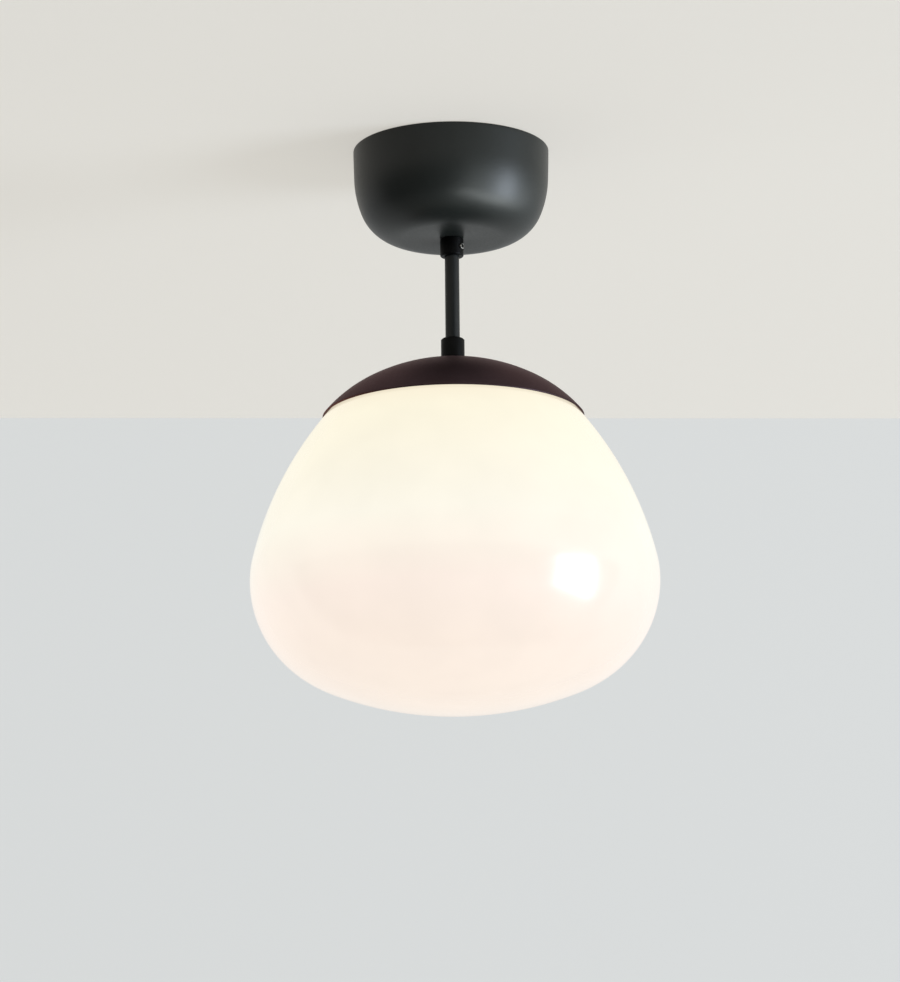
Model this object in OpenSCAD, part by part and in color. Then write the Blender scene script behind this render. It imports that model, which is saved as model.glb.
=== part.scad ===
// Ceiling light: a deep cup at the ceiling, a thin stem, a shallow dome and an opal glass shade.
// Millimetres, +Z up. The origin is on the lamp's axis, in the plane of the ceiling.

/* [Ceiling cup] */
// Outside diameter of the cup at its rim
cup_d = 136; // [125:1:160]
// Height of the cup
cup_h = 63.5; // [58:0.5:80]
// Thickness of the pressed steel sheet of the cup
cup_wall = 1.2; // [0.8:0.1:2]
// Lean of the cup's side at its rim, in degrees
cup_rim_lean = 0.8; // [0.3:0.1:2]
// Height of the nearly straight side
cup_side_h = 21; // [16:0.5:24]
// Large radius of the side's slight bulge
cup_side_r = 1000; // [600:10:2000]
// Radius that follows below the side
cup_shoulder_r = 69.5; // [64:0.5:76]
// Radius of the corner at the bottom of the cup
cup_corner_r = 30; // [26:0.5:32]
// Gap between the cup's rim and the ceiling
ceiling_gap = 0.5; // [0.3:0.1:2]

/* [Stem] */
// Outside diameter of the stem tube
stem_d = 10; // [8:0.5:12]
// Wall of the stem tube
stem_wall = 1; // [0.8:0.1:1.2]
// Depth of the stem's top end below the ceiling
stem_top_depth = 13; // [11:0.5:14]
// Distance from the ceiling to the top of the dome
dome_depth = 152.9; // [148:0.5:200]
// Length of stem that stands in the lampholder
stem_in_holder = 10.5; // [9:0.5:11.5]

/* [Collar and coupler] */
// Diameter of the collar under the cup
collar_d = 16.3; // [16:0.1:22]
// Height of that collar
collar_h = 12.6; // [10:0.1:16]
// Radius of the collar's lower edge
collar_round = 1.2; // [0.5:0.1:2]
// Diameter of the coupler on top of the dome
coupler_d = 16.3; // [14:0.1:22]
// Height of the coupler
coupler_h = 16.7; // [12:0.1:18]
// Chamfer on the coupler's upper edge
coupler_chamfer = 0.8; // [0.4:0.1:1.5]
// Diameter of the collar's set screw
set_screw_d = 4; // [3:0.5:5]
// How far the set screw stands out of the collar
set_screw_proud = 1.2; // [0.6:0.1:1.5]
// Width across the flats of the set screw's socket
set_screw_socket = 2.4; // [1.5:0.1:2.5]
// Direction of the set screw seen from above, in degrees from the front towards the right
set_screw_turn = 54; // [0:1:90]

/* [Dome] */
// Diameter of the dome's rim
dome_d = 180; // [178:0.2:188]
// Outer radius of curvature over the middle of the dome
dome_crown_r = 128.6; // [124:0.2:135]
// Outer radius of curvature near the rim
dome_edge_r = 95.8; // [92:0.2:100]
// Angle from the axis at which the middle passes into the edge, in degrees
dome_edge_from = 29.2; // [27:0.1:31]
// Thickness of the dome's sheet
dome_wall = 1.2; // [0.8:0.1:1.6]
// Width of the silicone ring between dome and glass
gasket_w = 6; // [4:0.5:7]
// Room for that ring between dome and glass, at its middle
gasket_t = 3.8; // [3.4:0.1:4.4]

/* [Glass shade] */
// Largest diameter of the glass
shade_d = 280; // [270:1:290]
// Thickness of the glass
shade_wall = 3; // [2.5:0.1:4]
// Radius of the profile just above the widest place
shade_upper_r = 63.8; // [58:0.2:70]
// How far that radius turns, in degrees
shade_upper_turn = 13.3; // [11:0.1:15]
// Radius of the long curve of the flank
shade_flank_r = 245.5; // [230:0.5:260]
// Radius of the profile below the widest place
shade_lower_r = 76.3; // [70:0.2:82]
// Radius of the base, about a centre on the axis
shade_base_r = 236; // [225:1:250]
// Radius of the shoulder that turns in under the dome
shade_shoulder_r = 45; // [40:1:48]
// Diameter of the opening in the neck
shade_neck_d = 120; // [114:1:124]

/* [Strap] */
// Length of the strap under the ceiling
strap_l = 112; // [104:1:116]
// Width of the strap
strap_w = 24; // [22:1:28]
// Thickness of the strap
strap_t = 2; // [1.6:0.2:2.4]
// Depth of the strap's middle below the ceiling, to its upper face
strap_depth = 18; // [17:0.5:22]
// Length of each foot
strap_foot_l = 20; // [18:0.5:22]
// Inner radius of the strap's bends
strap_bend_r = 2; // [1.6:0.2:3]
// Radius of the corners of the feet
strap_corner_r = 4; // [2:0.5:6]
// Distance between the centres of the two slots
slot_pitch = 92; // [88:1:94]
// Width of a slot
slot_w = 5; // [4.5:0.1:6]
// Length of a slot from end to end
slot_l = 12; // [8:0.5:13]

/* [Nuts] */
// Width across the flats of the thin nuts on the stem
nut_flats = 14; // [13:0.5:15]
// Thickness of the thin nuts
nut_h = 3; // [2.5:0.1:3.5]
// Diameter of the toothed washer
washer_d = 17; // [16.5:0.1:19]
// Thickness of the toothed washer
washer_t = 0.8; // [0.5:0.1:1.2]
// Number of teeth on the washer
washer_teeth = 10; // [8:1:14]

/* [Terminal block] */
// Distance between the poles of the block
pole_pitch = 9; // [8.6:0.1:9.4]
// Width of the block along its wires
block_w = 17; // [16:0.5:19]
// Height of the block's body
block_h = 8; // [7.5:0.1:9]
// Diameter of the towers over the screws
tower_d = 6; // [5.4:0.1:6.2]
// Height of those towers
tower_h = 6; // [4:0.5:8]
// Distance between the two screws of a pole
tower_pitch = 9; // [8.6:0.1:10]
// Outside diameter of the brass barrels
barrel_d = 4.6; // [4.4:0.1:4.8]
// Bore of the brass barrels
barrel_bore = 3.2; // [3:0.1:3.4]
// Diameter of the clamping screws
clamp_screw_d = 2.8; // [2.4:0.1:3]
// Distance from the lamp's axis to the block's nearest pole
block_offset = 14; // [13.5:0.5:15]

/* [Earthing point] */
// Distance from the lamp's axis to the earth screw
earth_offset = 15; // [14:0.5:17]
// Diameter of the earth screw
earth_screw_d = 4; // [3.5:0.5:4]
// Thickness of the earth tag
tag_t = 0.8; // [0.6:0.1:1]

/* [Wires] */
// Outside diameter of an insulated wire
wire_d = 2.2; // [1.8:0.1:2.4]
// Distance of the two lamp wires from the axis inside the stem
wire_off_axis = 1.6; // [1.4:0.1:1.8]
// Direction of the two lamp wires, in degrees
wire_turn = 123; // [110:1:130]

/* [Gallery] */
// Outside diameter of the tray that carries the spring clips
gallery_d = 100; // [96:1:104]
// Height of the tray
gallery_h = 22; // [18:0.5:26]
// Thickness of the tray's sheet
gallery_wall = 1; // [0.8:0.1:1.4]
// Outer radius of the tray's corner
gallery_corner_r = 5; // [3:0.5:8]
// Diameter of the tray's vent holes
vent_d = 12; // [8:1:16]
// Number of vent holes
vent_count = 6; // [3:1:8]
// Diameter of the spacer above the tray
spacer_d = 14; // [13:0.5:18]

/* [Spring clips] */
// Width of a spring clip
clip_w = 14; // [10:0.5:16]
// Thickness of the spring strip
clip_t = 0.8; // [0.6:0.1:1]
// Outer radius of the clip's bends
clip_bend_r = 3; // [2.5:0.1:3.5]
// Depth of the clip's lower bend below its nose
clip_depth = 22; // [18:0.5:26]
// Place of the nose on the shoulder of the glass, in degrees above the horizontal
clip_nose_angle = 66; // [62:1:68]
// How far the nose curls over, in degrees
clip_curl = 150; // [120:5:160]
// Direction of the first clip, in degrees
clip_turn = 30; // [20:1:40]
// Thickness of the silicone sleeve on the nose
sleeve_t = 0.8; // [0.6:0.1:1]
// Diameter of a rivet's shank
rivet_d = 3; // [2.5:0.1:3.5]
// Distance between the two rivets of a clip
rivet_pitch = 7; // [6.5:0.1:7.5]

/* [Lampholder] */
// Diameter of the lampholder
holder_d = 39; // [38:0.5:42]
// Height of the lampholder
holder_h = 60; // [58:0.5:64]
// Wall of the lampholder's cap and skirt
holder_wall = 2.2; // [1.8:0.1:2.6]
// Diameter of the cap's threaded neck
holder_neck_d = 17; // [16:0.5:20]
// Height of the cap above the skirt
holder_head_h = 14; // [13:0.5:16]
// Outer radius of the cap's shoulder
holder_shoulder_r = 8; // [6:0.5:9]
// Thickness of the insert that carries the contacts
insert_t = 8; // [7:0.5:10]
// Outside diameter of the screw shell
holder_shell_d = 28; // [27.8:0.1:28.6]
// Thickness of the screw shell
holder_shell_t = 0.5; // [0.4:0.1:0.6]
// Height of the screw shell
holder_shell_h = 22; // [20:0.5:24]
// Distance of the holder's terminals from the axis
terminal_off_axis = 9; // [8.5:0.5:10]

/* [Bulb] */
// Diameter of the bulb's globe
bulb_d = 60; // [55:1:65]
// Length of the bulb from its tip
bulb_l = 108; // [104:1:112]
// Diameter of the bulb's screw shell
bulb_shell_d = 26.2; // [26:0.1:26.3]
// Length of the bulb's screw shell
bulb_shell_h = 19; // [18:0.5:20]
// Height of the black insulator at the foot of the bulb
bulb_insulator_h = 5; // [4:0.5:6]
// Wall of the globe
bulb_wall = 1.2; // [1:0.1:1.6]

/* [Clearances] */
// Radial clearance of the cup's hole on the stem
slide_gap = 0.3; // [0.2:0.05:0.5]
// Radial clearance of nuts, collars and screws in their threads
thread_gap = 0.05; // [0.03:0.01:0.08]
// Gap between pieces that move past each other
moving_gap = 0.3; // [0.25:0.05:0.5]
// Gap between pieces that are fixed side by side
fixed_gap = 0.2; // [0.1:0.05:0.3]
// Radial clearance of the dome's and the tray's holes on the stem
hole_gap = 0.2; // [0.1:0.05:0.3]
// Gap between the dome's rim and the glass
shade_gap = 0.5; // [0.4:0.1:0.8]
// Gap between the gallery and the dome above it
gallery_gap = 1; // [0.6:0.1:2]

/* [Hidden] */
$fn = 96;
// Longer than any cut needs to be
far = 500;
// How far a cutter runs past the face it cuts
past = 1;

// Colours of the finishes
charcoal = [0.16, 0.17, 0.17];
zinc = [0.72, 0.73, 0.74];
brass = [0.78, 0.62, 0.32];
opal = [0.97, 0.94, 0.86];
silicone = [0.85, 0.85, 0.82];

// A point at radius r and angle a
function polar(r, a) = [r * cos(a), r * sin(a)];
// How far a sphere of radius r falls away at a distance d from its pole
function sag(r, d) = r - sqrt(r * r - d * d);

// Cup, collar and coupler, by height
stem_r = stem_d / 2;
cup_top_z = -ceiling_gap;
cup_bottom_z = cup_top_z - cup_h;
collar_top_z = cup_bottom_z - moving_gap;
collar_bottom_z = collar_top_z - collar_h;
collar_mid_z = (collar_top_z + collar_bottom_z) / 2;
dome_top_z = -dome_depth;
coupler_top_z = dome_top_z + coupler_h;

// The dome's two arcs, as centres in a profile that starts at the dome's top
dome_crown_c = [0, -dome_crown_r];
dome_edge_c = dome_crown_c + polar(dome_crown_r - dome_edge_r, 90 - dome_edge_from);
dome_rim_a = acos((dome_d / 2 - dome_edge_c[0]) / dome_edge_r);
dome_inner_r = dome_crown_r - dome_wall;
dome_inner_z = dome_top_z - dome_wall;

// The glass's arcs, as centres in a profile that starts at its widest place
shade_r = shade_d / 2;
upper_c = [shade_r - shade_upper_r, 0];
flank_c = upper_c + polar(shade_upper_r - shade_flank_r, shade_upper_turn);
lower_c = [shade_r - shade_lower_r, 0];
base_a = acos(lower_c[0] / (shade_base_r - shade_lower_r));
base_c = [0, (shade_base_r - shade_lower_r) * sin(base_a)];

// Where the flank passes under the dome's rim, and one degree inside it the start of the shoulder
rim_seat = dome_edge_c + polar(dome_edge_r - dome_wall - shade_gap, dome_rim_a);
flank_a = acos((rim_seat[0] - flank_c[0]) / shade_flank_r);
shoulder_from = flank_a + 1;
shoulder_c = flank_c + polar(shade_flank_r - shade_shoulder_r, shoulder_from);
shoulder_inner_r = shade_shoulder_r - shade_wall;
shoulder_to = acos((shade_neck_d / 2 - shoulder_c[0]) / shoulder_inner_r);

// The glass hangs with the gap under the rim, or lower where its shoulder would meet the dome first
under_rim = rim_seat[1] - flank_c[1] - shade_flank_r * sin(flank_a);
shoulder_room = dome_edge_r - dome_wall - shade_gap - shade_shoulder_r;
shoulder_shift = shoulder_c[0] - dome_edge_c[0];
under_dome = dome_edge_c[1] + sqrt(pow(shoulder_room, 2) - pow(shoulder_shift, 2)) - shoulder_c[1];
shade_z = dome_top_z + min(under_rim, under_dome);

// Strap: square bends, from the middle up to the feet
strap_top_z = -strap_depth;
strap_bottom_z = strap_top_z - strap_t;
strap_knee_x = strap_l / 2 - strap_foot_l;
strap_web_x = strap_knee_x - 2 * strap_bend_r - strap_t;
nut_corner_r = nut_flats / 2 / cos(30);
washer_z = strap_bottom_z;
lower_nut_z = washer_z - washer_t;

// Terminal block under the strap, with its poles in a row along X
pole_count = 3;
block_l = pole_count * pole_pitch + 1;
block_mid_x = block_offset + pole_pitch;
block_bottom_z = strap_bottom_z - block_h;
barrel_z = strap_bottom_z - block_h / 2 - 0.5;
barrel_l = block_w - 3;
tower_bore = clamp_screw_d + 1.4;
block_screw_d = 2.5;
block_screw_x = block_offset + pole_pitch / 2;
block_screw_head = [5, 2];

// Earthing point
tag_r = earth_screw_d / 2 + 2.5;
earth_head = [2 * earth_screw_d - 0.4, 2.4];
crimp_r = wire_d / 2 + fixed_gap + 0.7;
crimp_l = 6;
crimp_y = tag_r + 3;
crimp_z = strap_bottom_z - crimp_r - fixed_gap;

// Stack under the dome
dome_nut_z = dome_inner_z - sag(dome_inner_r, nut_corner_r);
gallery_r = gallery_d / 2;
gallery_z = dome_inner_z - sag(dome_inner_r, gallery_r) - gallery_gap;
gallery_nut_z = gallery_z - gallery_wall;
holder_z = gallery_nut_z - nut_h;
stem_bottom_z = holder_z - stem_in_holder;

// Spring clips: the nose lies under the shoulder of the glass, the lower bend on the gallery's side
nose_reach = shoulder_inner_r - moving_gap - sleeve_t - clip_bend_r;
clip_nose = [0, shade_z] + shoulder_c + polar(nose_reach, clip_nose_angle);
clip_foot = [gallery_r + clip_bend_r, clip_nose[1] - clip_depth];
clip_leg = clip_nose - clip_foot;
clip_leg_angle = atan2(clip_leg[1], clip_leg[0]);
clip_top_z = gallery_z - gallery_corner_r - 1;
rivet_z = (clip_top_z + gallery_z - gallery_h) / 2;
rivet_head_r = rivet_d / 2 + 1.2;
rivet_head_h = 1;

// Lampholder, downwards from its top
holder_r = holder_d / 2;
holder_plug_r = holder_r - holder_wall - fixed_gap;
holder_neck_h = holder_head_h - holder_shoulder_r;
// Height of the flange between the cap's shoulder and its plug
plug_flange_h = 2;
skirt_top_z = holder_z - holder_head_h - plug_flange_h - fixed_gap;
insert_top_z = holder_z - holder_h / 2 + 4;
insert_bottom_z = insert_top_z - insert_t;
insert_r = holder_r - holder_wall - 2 * fixed_gap;
ledge_r = holder_shell_d / 2 + 1;
contact_depth = 4;
terminal_size = [6, 6, 7];
terminal_screw_d = 2.6;
lock_screw_d = 3;
// How far a ledge runs into the wall that carries it
wall_overlap = 0.5;

// Bulb, downwards from its tip
bulb_r = bulb_d / 2;
tip_z = insert_bottom_z - contact_depth - moving_gap;
tip_h = 1.6;
tip_r = 4.8;
bulb_shell_top_z = tip_z - tip_h - bulb_insulator_h;
bulb_shell_bottom_z = bulb_shell_top_z - bulb_shell_h;
globe_z = tip_z - bulb_l + bulb_r;
globe_edge_r = bulb_r - 2;
globe_edge_z = globe_z + sqrt(pow(bulb_r, 2) - pow(globe_edge_r, 2));

// Puts a shape at p in three steps, from coarse to fine, so that no digit of its place is lost
module exactly_at(p) {
    coarse = [round(p[0]), round(p[1])];
    fine = [for (d = p - coarse) round(d * 1e4) / 1e4];
    translate(coarse)
        translate(fine)
            translate(p - coarse - fine)
                children();
}

// A stretch of wall along an arc: outer radius, thickness, first and last angle.
// It is cut where its neighbour is cut, so that tangent arcs join without a step.
module wall_arc(centre, r, wall, from, to) {
    inner = r - wall - wall / 2;
    outer = r + wall;
    steps = 4;
    intersection() {
        exactly_at(centre)
            difference() {
                circle(r);
                circle(r - wall);
            }
        polygon([
            centre + polar(inner, from),
            for (i = [0:steps])
                let(reach = i == 0 || i == steps ? 1 : 1.3)
                    centre + polar(reach * outer, from + i * (to - from) / steps),
            centre + polar(inner, to)
        ]);
    }
}

// A short stretch inside the wall where two arcs meet, so that they are one piece at any size
module wall_joint(centre, r, wall, angle) {
    wall_arc(centre, r - wall / 4, wall / 2, angle - 1, angle + 1);
}

// The points of an arc
function arc(centre, r, from, to, steps) =
    [for (i = [0:steps]) centre + polar(r, from + i * (to - from) / steps)];

// A ring in a profile, from its top face down
module band(r_in, r_out, top, height) {
    polygon([[r_in, top - height], [r_out, top - height], [r_out, top], [r_in, top]]);
}

// Revolves a profile whose zero lies at a height
module turned(z) {
    translate([0, 0, z])
        rotate_extrude()
            children();
}

// A cylinder that hangs from its top face
module drop(d, top, height) {
    translate([0, 0, top - height])
        cylinder(d = d, h = height);
}

// A thin nut on the stem, down from its top face
module stem_nut(top) {
    difference() {
        translate([0, 0, top - nut_h])
            cylinder(r = nut_corner_r, h = nut_h, $fn = 6);
        drop(stem_d + 2 * thread_gap, top + past, nut_h + 2 * past);
    }
}

// The strap's edge, from the middle up to the end of one foot
module strap_half() {
    bend_r = strap_bend_r + strap_t;
    leg_x = strap_web_x + strap_bend_r;
    knee_z = -bend_r;
    web_z = strap_bottom_z + bend_r;
    band(0, strap_web_x, strap_top_z, strap_t);
    wall_arc([strap_web_x, web_z], bend_r, strap_t, -90, 0);
    band(leg_x, leg_x + strap_t, knee_z, knee_z - web_z);
    wall_arc([strap_knee_x, knee_z], bend_r, strap_t, 90, 180);
    band(strap_knee_x, strap_l / 2, 0, strap_t);
}

// The strap seen from above, with rounded corners
module strap_plan() {
    square([strap_l, strap_w - 2 * strap_corner_r], center = true);
    square([strap_l - 2 * strap_corner_r, strap_w], center = true);
    for (sx = [-1, 1], sy = [-1, 1])
        translate([sx * (strap_l / 2 - strap_corner_r), sy * (strap_w / 2 - strap_corner_r)])
            circle(strap_corner_r);
}

// A slot that runs along X, cut through one foot
module slot() {
    translate([0, 0, -far / 2])
        linear_extrude(far) {
            square([slot_l - slot_w, slot_w], center = true);
            for (side = [-1, 1])
                translate([side * (slot_l - slot_w) / 2, 0])
                    circle(d = slot_w);
        }
}

module strap_bracket() {
    color(zinc)
        difference() {
            intersection() {
                rotate([90, 0, 0])
                    linear_extrude(strap_w + past, center = true) {
                        strap_half();
                        mirror([1, 0])
                            strap_half();
                    }
                translate([0, 0, -far / 2])
                    linear_extrude(far)
                        strap_plan();
            }
            for (side = [-1, 1])
                translate([side * slot_pitch / 2, 0, 0])
                    slot();
            cylinder(d = stem_d + 2 * hole_gap, h = far, center = true);
            translate([-earth_offset, 0, 0])
                cylinder(d = earth_screw_d + 2 * thread_gap, h = far, center = true);
            translate([block_screw_x, 0, 0])
                cylinder(d = block_screw_d + 2 * thread_gap, h = far, center = true);
        }
}

module strap_nut_upper() {
    color(zinc)
        stem_nut(strap_top_z + nut_h);
}

module strap_nut_lower() {
    color(zinc)
        stem_nut(lower_nut_z);
}

// Toothed washer: notches between the teeth let its rim bite into the strap
module star_washer() {
    notch_w = washer_d * 0.12;
    color(zinc)
        difference() {
            drop(washer_d, washer_z, washer_t);
            drop(stem_d + 2 * hole_gap, washer_z + past, washer_t + 2 * past);
            for (i = [0:washer_teeth - 1])
                rotate((i + 0.5) * 360 / washer_teeth)
                    translate([washer_d / 2, 0, washer_z - washer_t / 2])
                        cube([2 * notch_w, notch_w, washer_t + 2 * past], center = true);
        }
}

// Places a shape at each pole of the block
module at_poles() {
    for (i = [0:pole_count - 1])
        translate([block_offset + i * pole_pitch, 0, 0])
            children();
}

// Places a shape at each clamping screw of the block
module at_clamps() {
    at_poles()
        for (side = [-1, 1])
            translate([0, side * tower_pitch / 2, 0])
                children();
}

module terminal_block() {
    color("white")
        difference() {
            union() {
                translate([block_mid_x - block_l / 2, -block_w / 2, block_bottom_z])
                    cube([block_l, block_w, block_h]);
                at_clamps()
                    drop(tower_d, block_bottom_z + past, tower_h + past);
            }
            at_poles()
                translate([0, 0, barrel_z])
                    rotate([90, 0, 0])
                        cylinder(d = barrel_d + 2 * fixed_gap, h = far, center = true);
            at_clamps()
                drop(tower_bore, barrel_z, block_h + tower_h + past);
            translate([block_screw_x, 0, 0])
                cylinder(d = block_screw_d + 2 * fixed_gap, h = far, center = true);
        }
}

module terminal_barrels() {
    color(brass)
        at_poles()
            difference() {
                translate([0, 0, barrel_z])
                    rotate([90, 0, 0])
                        cylinder(d = barrel_d, h = barrel_l, center = true);
                translate([0, 0, barrel_z])
                    rotate([90, 0, 0])
                        cylinder(d = barrel_bore, h = far, center = true);
                for (side = [-1, 1])
                    translate([0, side * tower_pitch / 2, 0])
                        drop(clamp_screw_d + 2 * thread_gap, barrel_z, far);
            }
}

// Clamping screws with a driver slot, their tips just short of the wires
module terminal_screws() {
    tip = barrel_z - wire_d / 2 - fixed_gap;
    end = block_bottom_z - tower_h + 1.5;
    slot_size = [tower_bore, 0.8, 2];
    color(zinc)
        at_clamps()
            difference() {
                drop(clamp_screw_d, tip, tip - end);
                translate([0, 0, end])
                    cube(slot_size, center = true);
            }
}

module block_screw() {
    tip = strap_top_z + 1;
    color(zinc)
        translate([block_screw_x, 0, 0])
            difference() {
                union() {
                    drop(block_screw_d, tip, tip - block_bottom_z + past);
                    drop(block_screw_head[0], block_bottom_z, block_screw_head[1]);
                }
                translate([0, 0, block_bottom_z - block_screw_head[1]])
                    cube([far, 0.8, 2], center = true);
            }
}

module earth_screw() {
    tip = strap_top_z + 1.5;
    under = strap_bottom_z - tag_t;
    color(brass)
        translate([-earth_offset, 0, 0])
            difference() {
                union() {
                    drop(earth_screw_d, tip, tip - under + past);
                    drop(earth_head[0], under, earth_head[1]);
                }
                translate([0, 0, under - earth_head[1]])
                    cube([far, 1, 2], center = true);
            }
}

// Ring tag under the earth screw, with a crimped barrel for the wire
module earth_tag() {
    color(brass)
        translate([-earth_offset, 0, 0])
            difference() {
                union() {
                    drop(2 * tag_r, strap_bottom_z, tag_t);
                    translate([-crimp_r, 0, strap_bottom_z - tag_t])
                        cube([2 * crimp_r, crimp_y + past, tag_t]);
                    translate([0, crimp_y, crimp_z])
                        rotate([-90, 0, 0])
                            cylinder(r = crimp_r, h = crimp_l);
                }
                drop(earth_screw_d + 2 * fixed_gap, strap_bottom_z + past, far);
                translate([0, crimp_y + past, crimp_z])
                    rotate([-90, 0, 0])
                        cylinder(r = wire_d / 2 + fixed_gap, h = crimp_l + past);
            }
}

// Rounds every inner corner of a route with a curve that starts and ends at a distance from it
wire_steps = 5;
function unit(v) = v / norm(v);
function corner(a, b, c, cut) = [
    for (i = [0:wire_steps])
        let(t = i / wire_steps, p = b + cut * unit(a - b), q = b + cut * unit(c - b))
            (1 - t) * (1 - t) * p + 2 * t * (1 - t) * b + t * t * q
];
function rounded(route, cut) = [
    route[0],
    for (i = [1:len(route) - 2]) each corner(route[i - 1], route[i], route[i + 1], cut),
    route[len(route) - 1]
];

// The direction of a route at point i, and a frame that is carried along it without twist
function ahead(p, i) = unit(p[min(i + 1, len(p) - 1)] - p[max(i - 1, 0)]);
function carried(p, i) =
    i == 0
        ? unit(cross(ahead(p, 0), [0.3, 0.5, 0.8]))
        : let(n = carried(p, i - 1), t = ahead(p, i)) unit(n - t * (n * t));

// A wire of round section swept along a rounded route
wire_sides = 8;
module wire(route) {
    p = rounded(route, 5);
    rings = len(p);
    points = [
        for (i = [0:rings - 1])
            let(n = carried(p, i), b = cross(ahead(p, i), n))
                for (k = [0:wire_sides - 1])
                    p[i] + wire_d / 2 * (n * cos(k * 360 / wire_sides) + b * sin(k * 360 / wire_sides))
    ];
    sides = [
        for (i = [0:rings - 2], k = [0:wire_sides - 1])
            let(a = i * wire_sides + k, b = i * wire_sides + (k + 1) % wire_sides)
                each [[a, b + wire_sides, b], [a, a + wire_sides, b + wire_sides]]
    ];
    first = [for (k = [0:wire_sides - 1]) k];
    last = [for (k = [wire_sides - 1:-1:0]) (rings - 1) * wire_sides + k];
    polyhedron(points, concat([first], sides, [last]));
}

// From a pole of the block, round the strap's edge, over it and down the stem to the lampholder
module lamp_wire(pole, turn) {
    x = block_offset + pole * pole_pitch;
    y = strap_w / 2 + 5;
    over_z = strap_top_z + 11;
    inside = wire_off_axis * [cos(turn), sin(turn), 0];
    outside = terminal_off_axis * [cos(turn), sin(turn), 0];
    wire([
        [x, barrel_l / 2 - 4, barrel_z],
        [x, y, barrel_z],
        [x, y, over_z],
        inside + [0, 0, over_z],
        inside + [0, 0, stem_bottom_z - 3],
        outside + [0, 0, insert_top_z + 10],
        outside + [0, 0, insert_top_z + 3]
    ]);
}

module wire_live() {
    color("saddlebrown")
        lamp_wire(2, wire_turn + 180);
}

module wire_neutral() {
    color("royalblue")
        lamp_wire(1, wire_turn);
}

// From the first pole of the block to the earth tag on the other side of the stem
module wire_earth() {
    y = crimp_y + crimp_l + 6;
    color("yellowgreen")
        wire([
            [block_offset, barrel_l / 2 - 4, barrel_z],
            [block_offset, y, barrel_z],
            [-earth_offset, y, crimp_z],
            [-earth_offset, crimp_y + past + 1, crimp_z]
        ]);
}

module stem_tube() {
    color(charcoal)
        rotate_extrude()
            band(stem_r - stem_wall, stem_r, -stem_top_depth, -stem_top_depth - stem_bottom_z);
}

// Deep pressed cup: nearly straight side, wide shoulder, round corner and a flat bottom with a hole
module ceiling_cup() {
    side_a = asin(sin(cup_rim_lean) + cup_side_h / cup_side_r);
    curve_h = cup_h - cup_side_h - cup_corner_r + cup_shoulder_r * sin(side_a);
    corner_a = asin(curve_h / (cup_shoulder_r - cup_corner_r));
    side_c = [cup_d / 2, 0] - polar(cup_side_r, -cup_rim_lean);
    shoulder_c = side_c + polar(cup_side_r - cup_shoulder_r, -side_a);
    corner_c = shoulder_c + polar(cup_shoulder_r - cup_corner_r, -corner_a);
    color(charcoal)
        turned(cup_top_z) {
            wall_arc(side_c, cup_side_r, cup_wall, -side_a, -cup_rim_lean);
            wall_arc(shoulder_c, cup_shoulder_r, cup_wall, -corner_a, -side_a);
            wall_joint(shoulder_c, cup_shoulder_r, cup_wall, -side_a);
            wall_arc(corner_c, cup_corner_r, cup_wall, -90, -corner_a);
            wall_joint(corner_c, cup_corner_r, cup_wall, -corner_a);
            band(stem_r + slide_gap, corner_c[0], cup_wall - cup_h, cup_wall);
        }
}

// Places a shape at the set screw, with X pointing out along it
module at_set_screw() {
    translate([0, 0, collar_mid_z])
        rotate(set_screw_turn - 90)
            children();
}

module stop_collar() {
    r = collar_d / 2;
    color(charcoal)
        difference() {
            rotate_extrude()
                difference() {
                    union() {
                        band(0, r, collar_top_z, collar_h - collar_round);
                        band(0, r - collar_round, collar_top_z, collar_h);
                        translate([r - collar_round, collar_bottom_z + collar_round])
                            circle(collar_round, $fn = 32);
                    }
                    band(-far, stem_r + thread_gap, collar_top_z + past, collar_h + 2 * past);
                }
            at_set_screw()
                rotate([0, 90, 0])
                    cylinder(d = set_screw_d + 2 * thread_gap, h = far);
        }
}

// Grub screw with a hexagon socket, its tip on the stem
module collar_set_screw() {
    tip_x = stem_r + 2 * thread_gap;
    end_x = collar_d / 2 + set_screw_proud;
    color("silver")
        at_set_screw()
            difference() {
                translate([tip_x, 0, 0])
                    rotate([0, 90, 0])
                        cylinder(d = set_screw_d, h = end_x - tip_x);
                translate([end_x - 2, 0, 0])
                    rotate([0, 90, 0])
                        cylinder(d = set_screw_socket / cos(30), h = 2 + past, $fn = 6);
            }
}

module lower_coupler() {
    r = coupler_d / 2;
    hole_r = stem_r + thread_gap;
    c = coupler_chamfer;
    color(charcoal)
        rotate_extrude()
            polygon([
                [hole_r, dome_top_z],
                [r, dome_top_z],
                [r, coupler_top_z - c],
                [r - c, coupler_top_z],
                [hole_r, coupler_top_z]
            ]);
}

// Shallow spun dome: a flatter middle and a tighter edge, one wall all over
module dome_cap() {
    joint_a = 90 - dome_edge_from;
    color(charcoal)
        difference() {
            turned(dome_top_z) {
                wall_arc(dome_crown_c, dome_crown_r, dome_wall, joint_a, 90);
                wall_arc(dome_edge_c, dome_edge_r, dome_wall, dome_rim_a, joint_a);
                wall_joint(dome_edge_c, dome_edge_r, dome_wall, joint_a);
            }
            drop(stem_d + 2 * hole_gap, dome_top_z + past, dome_wall + 2 * past);
        }
}

module dome_nut() {
    color(zinc)
        stem_nut(dome_nut_z);
}

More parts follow.
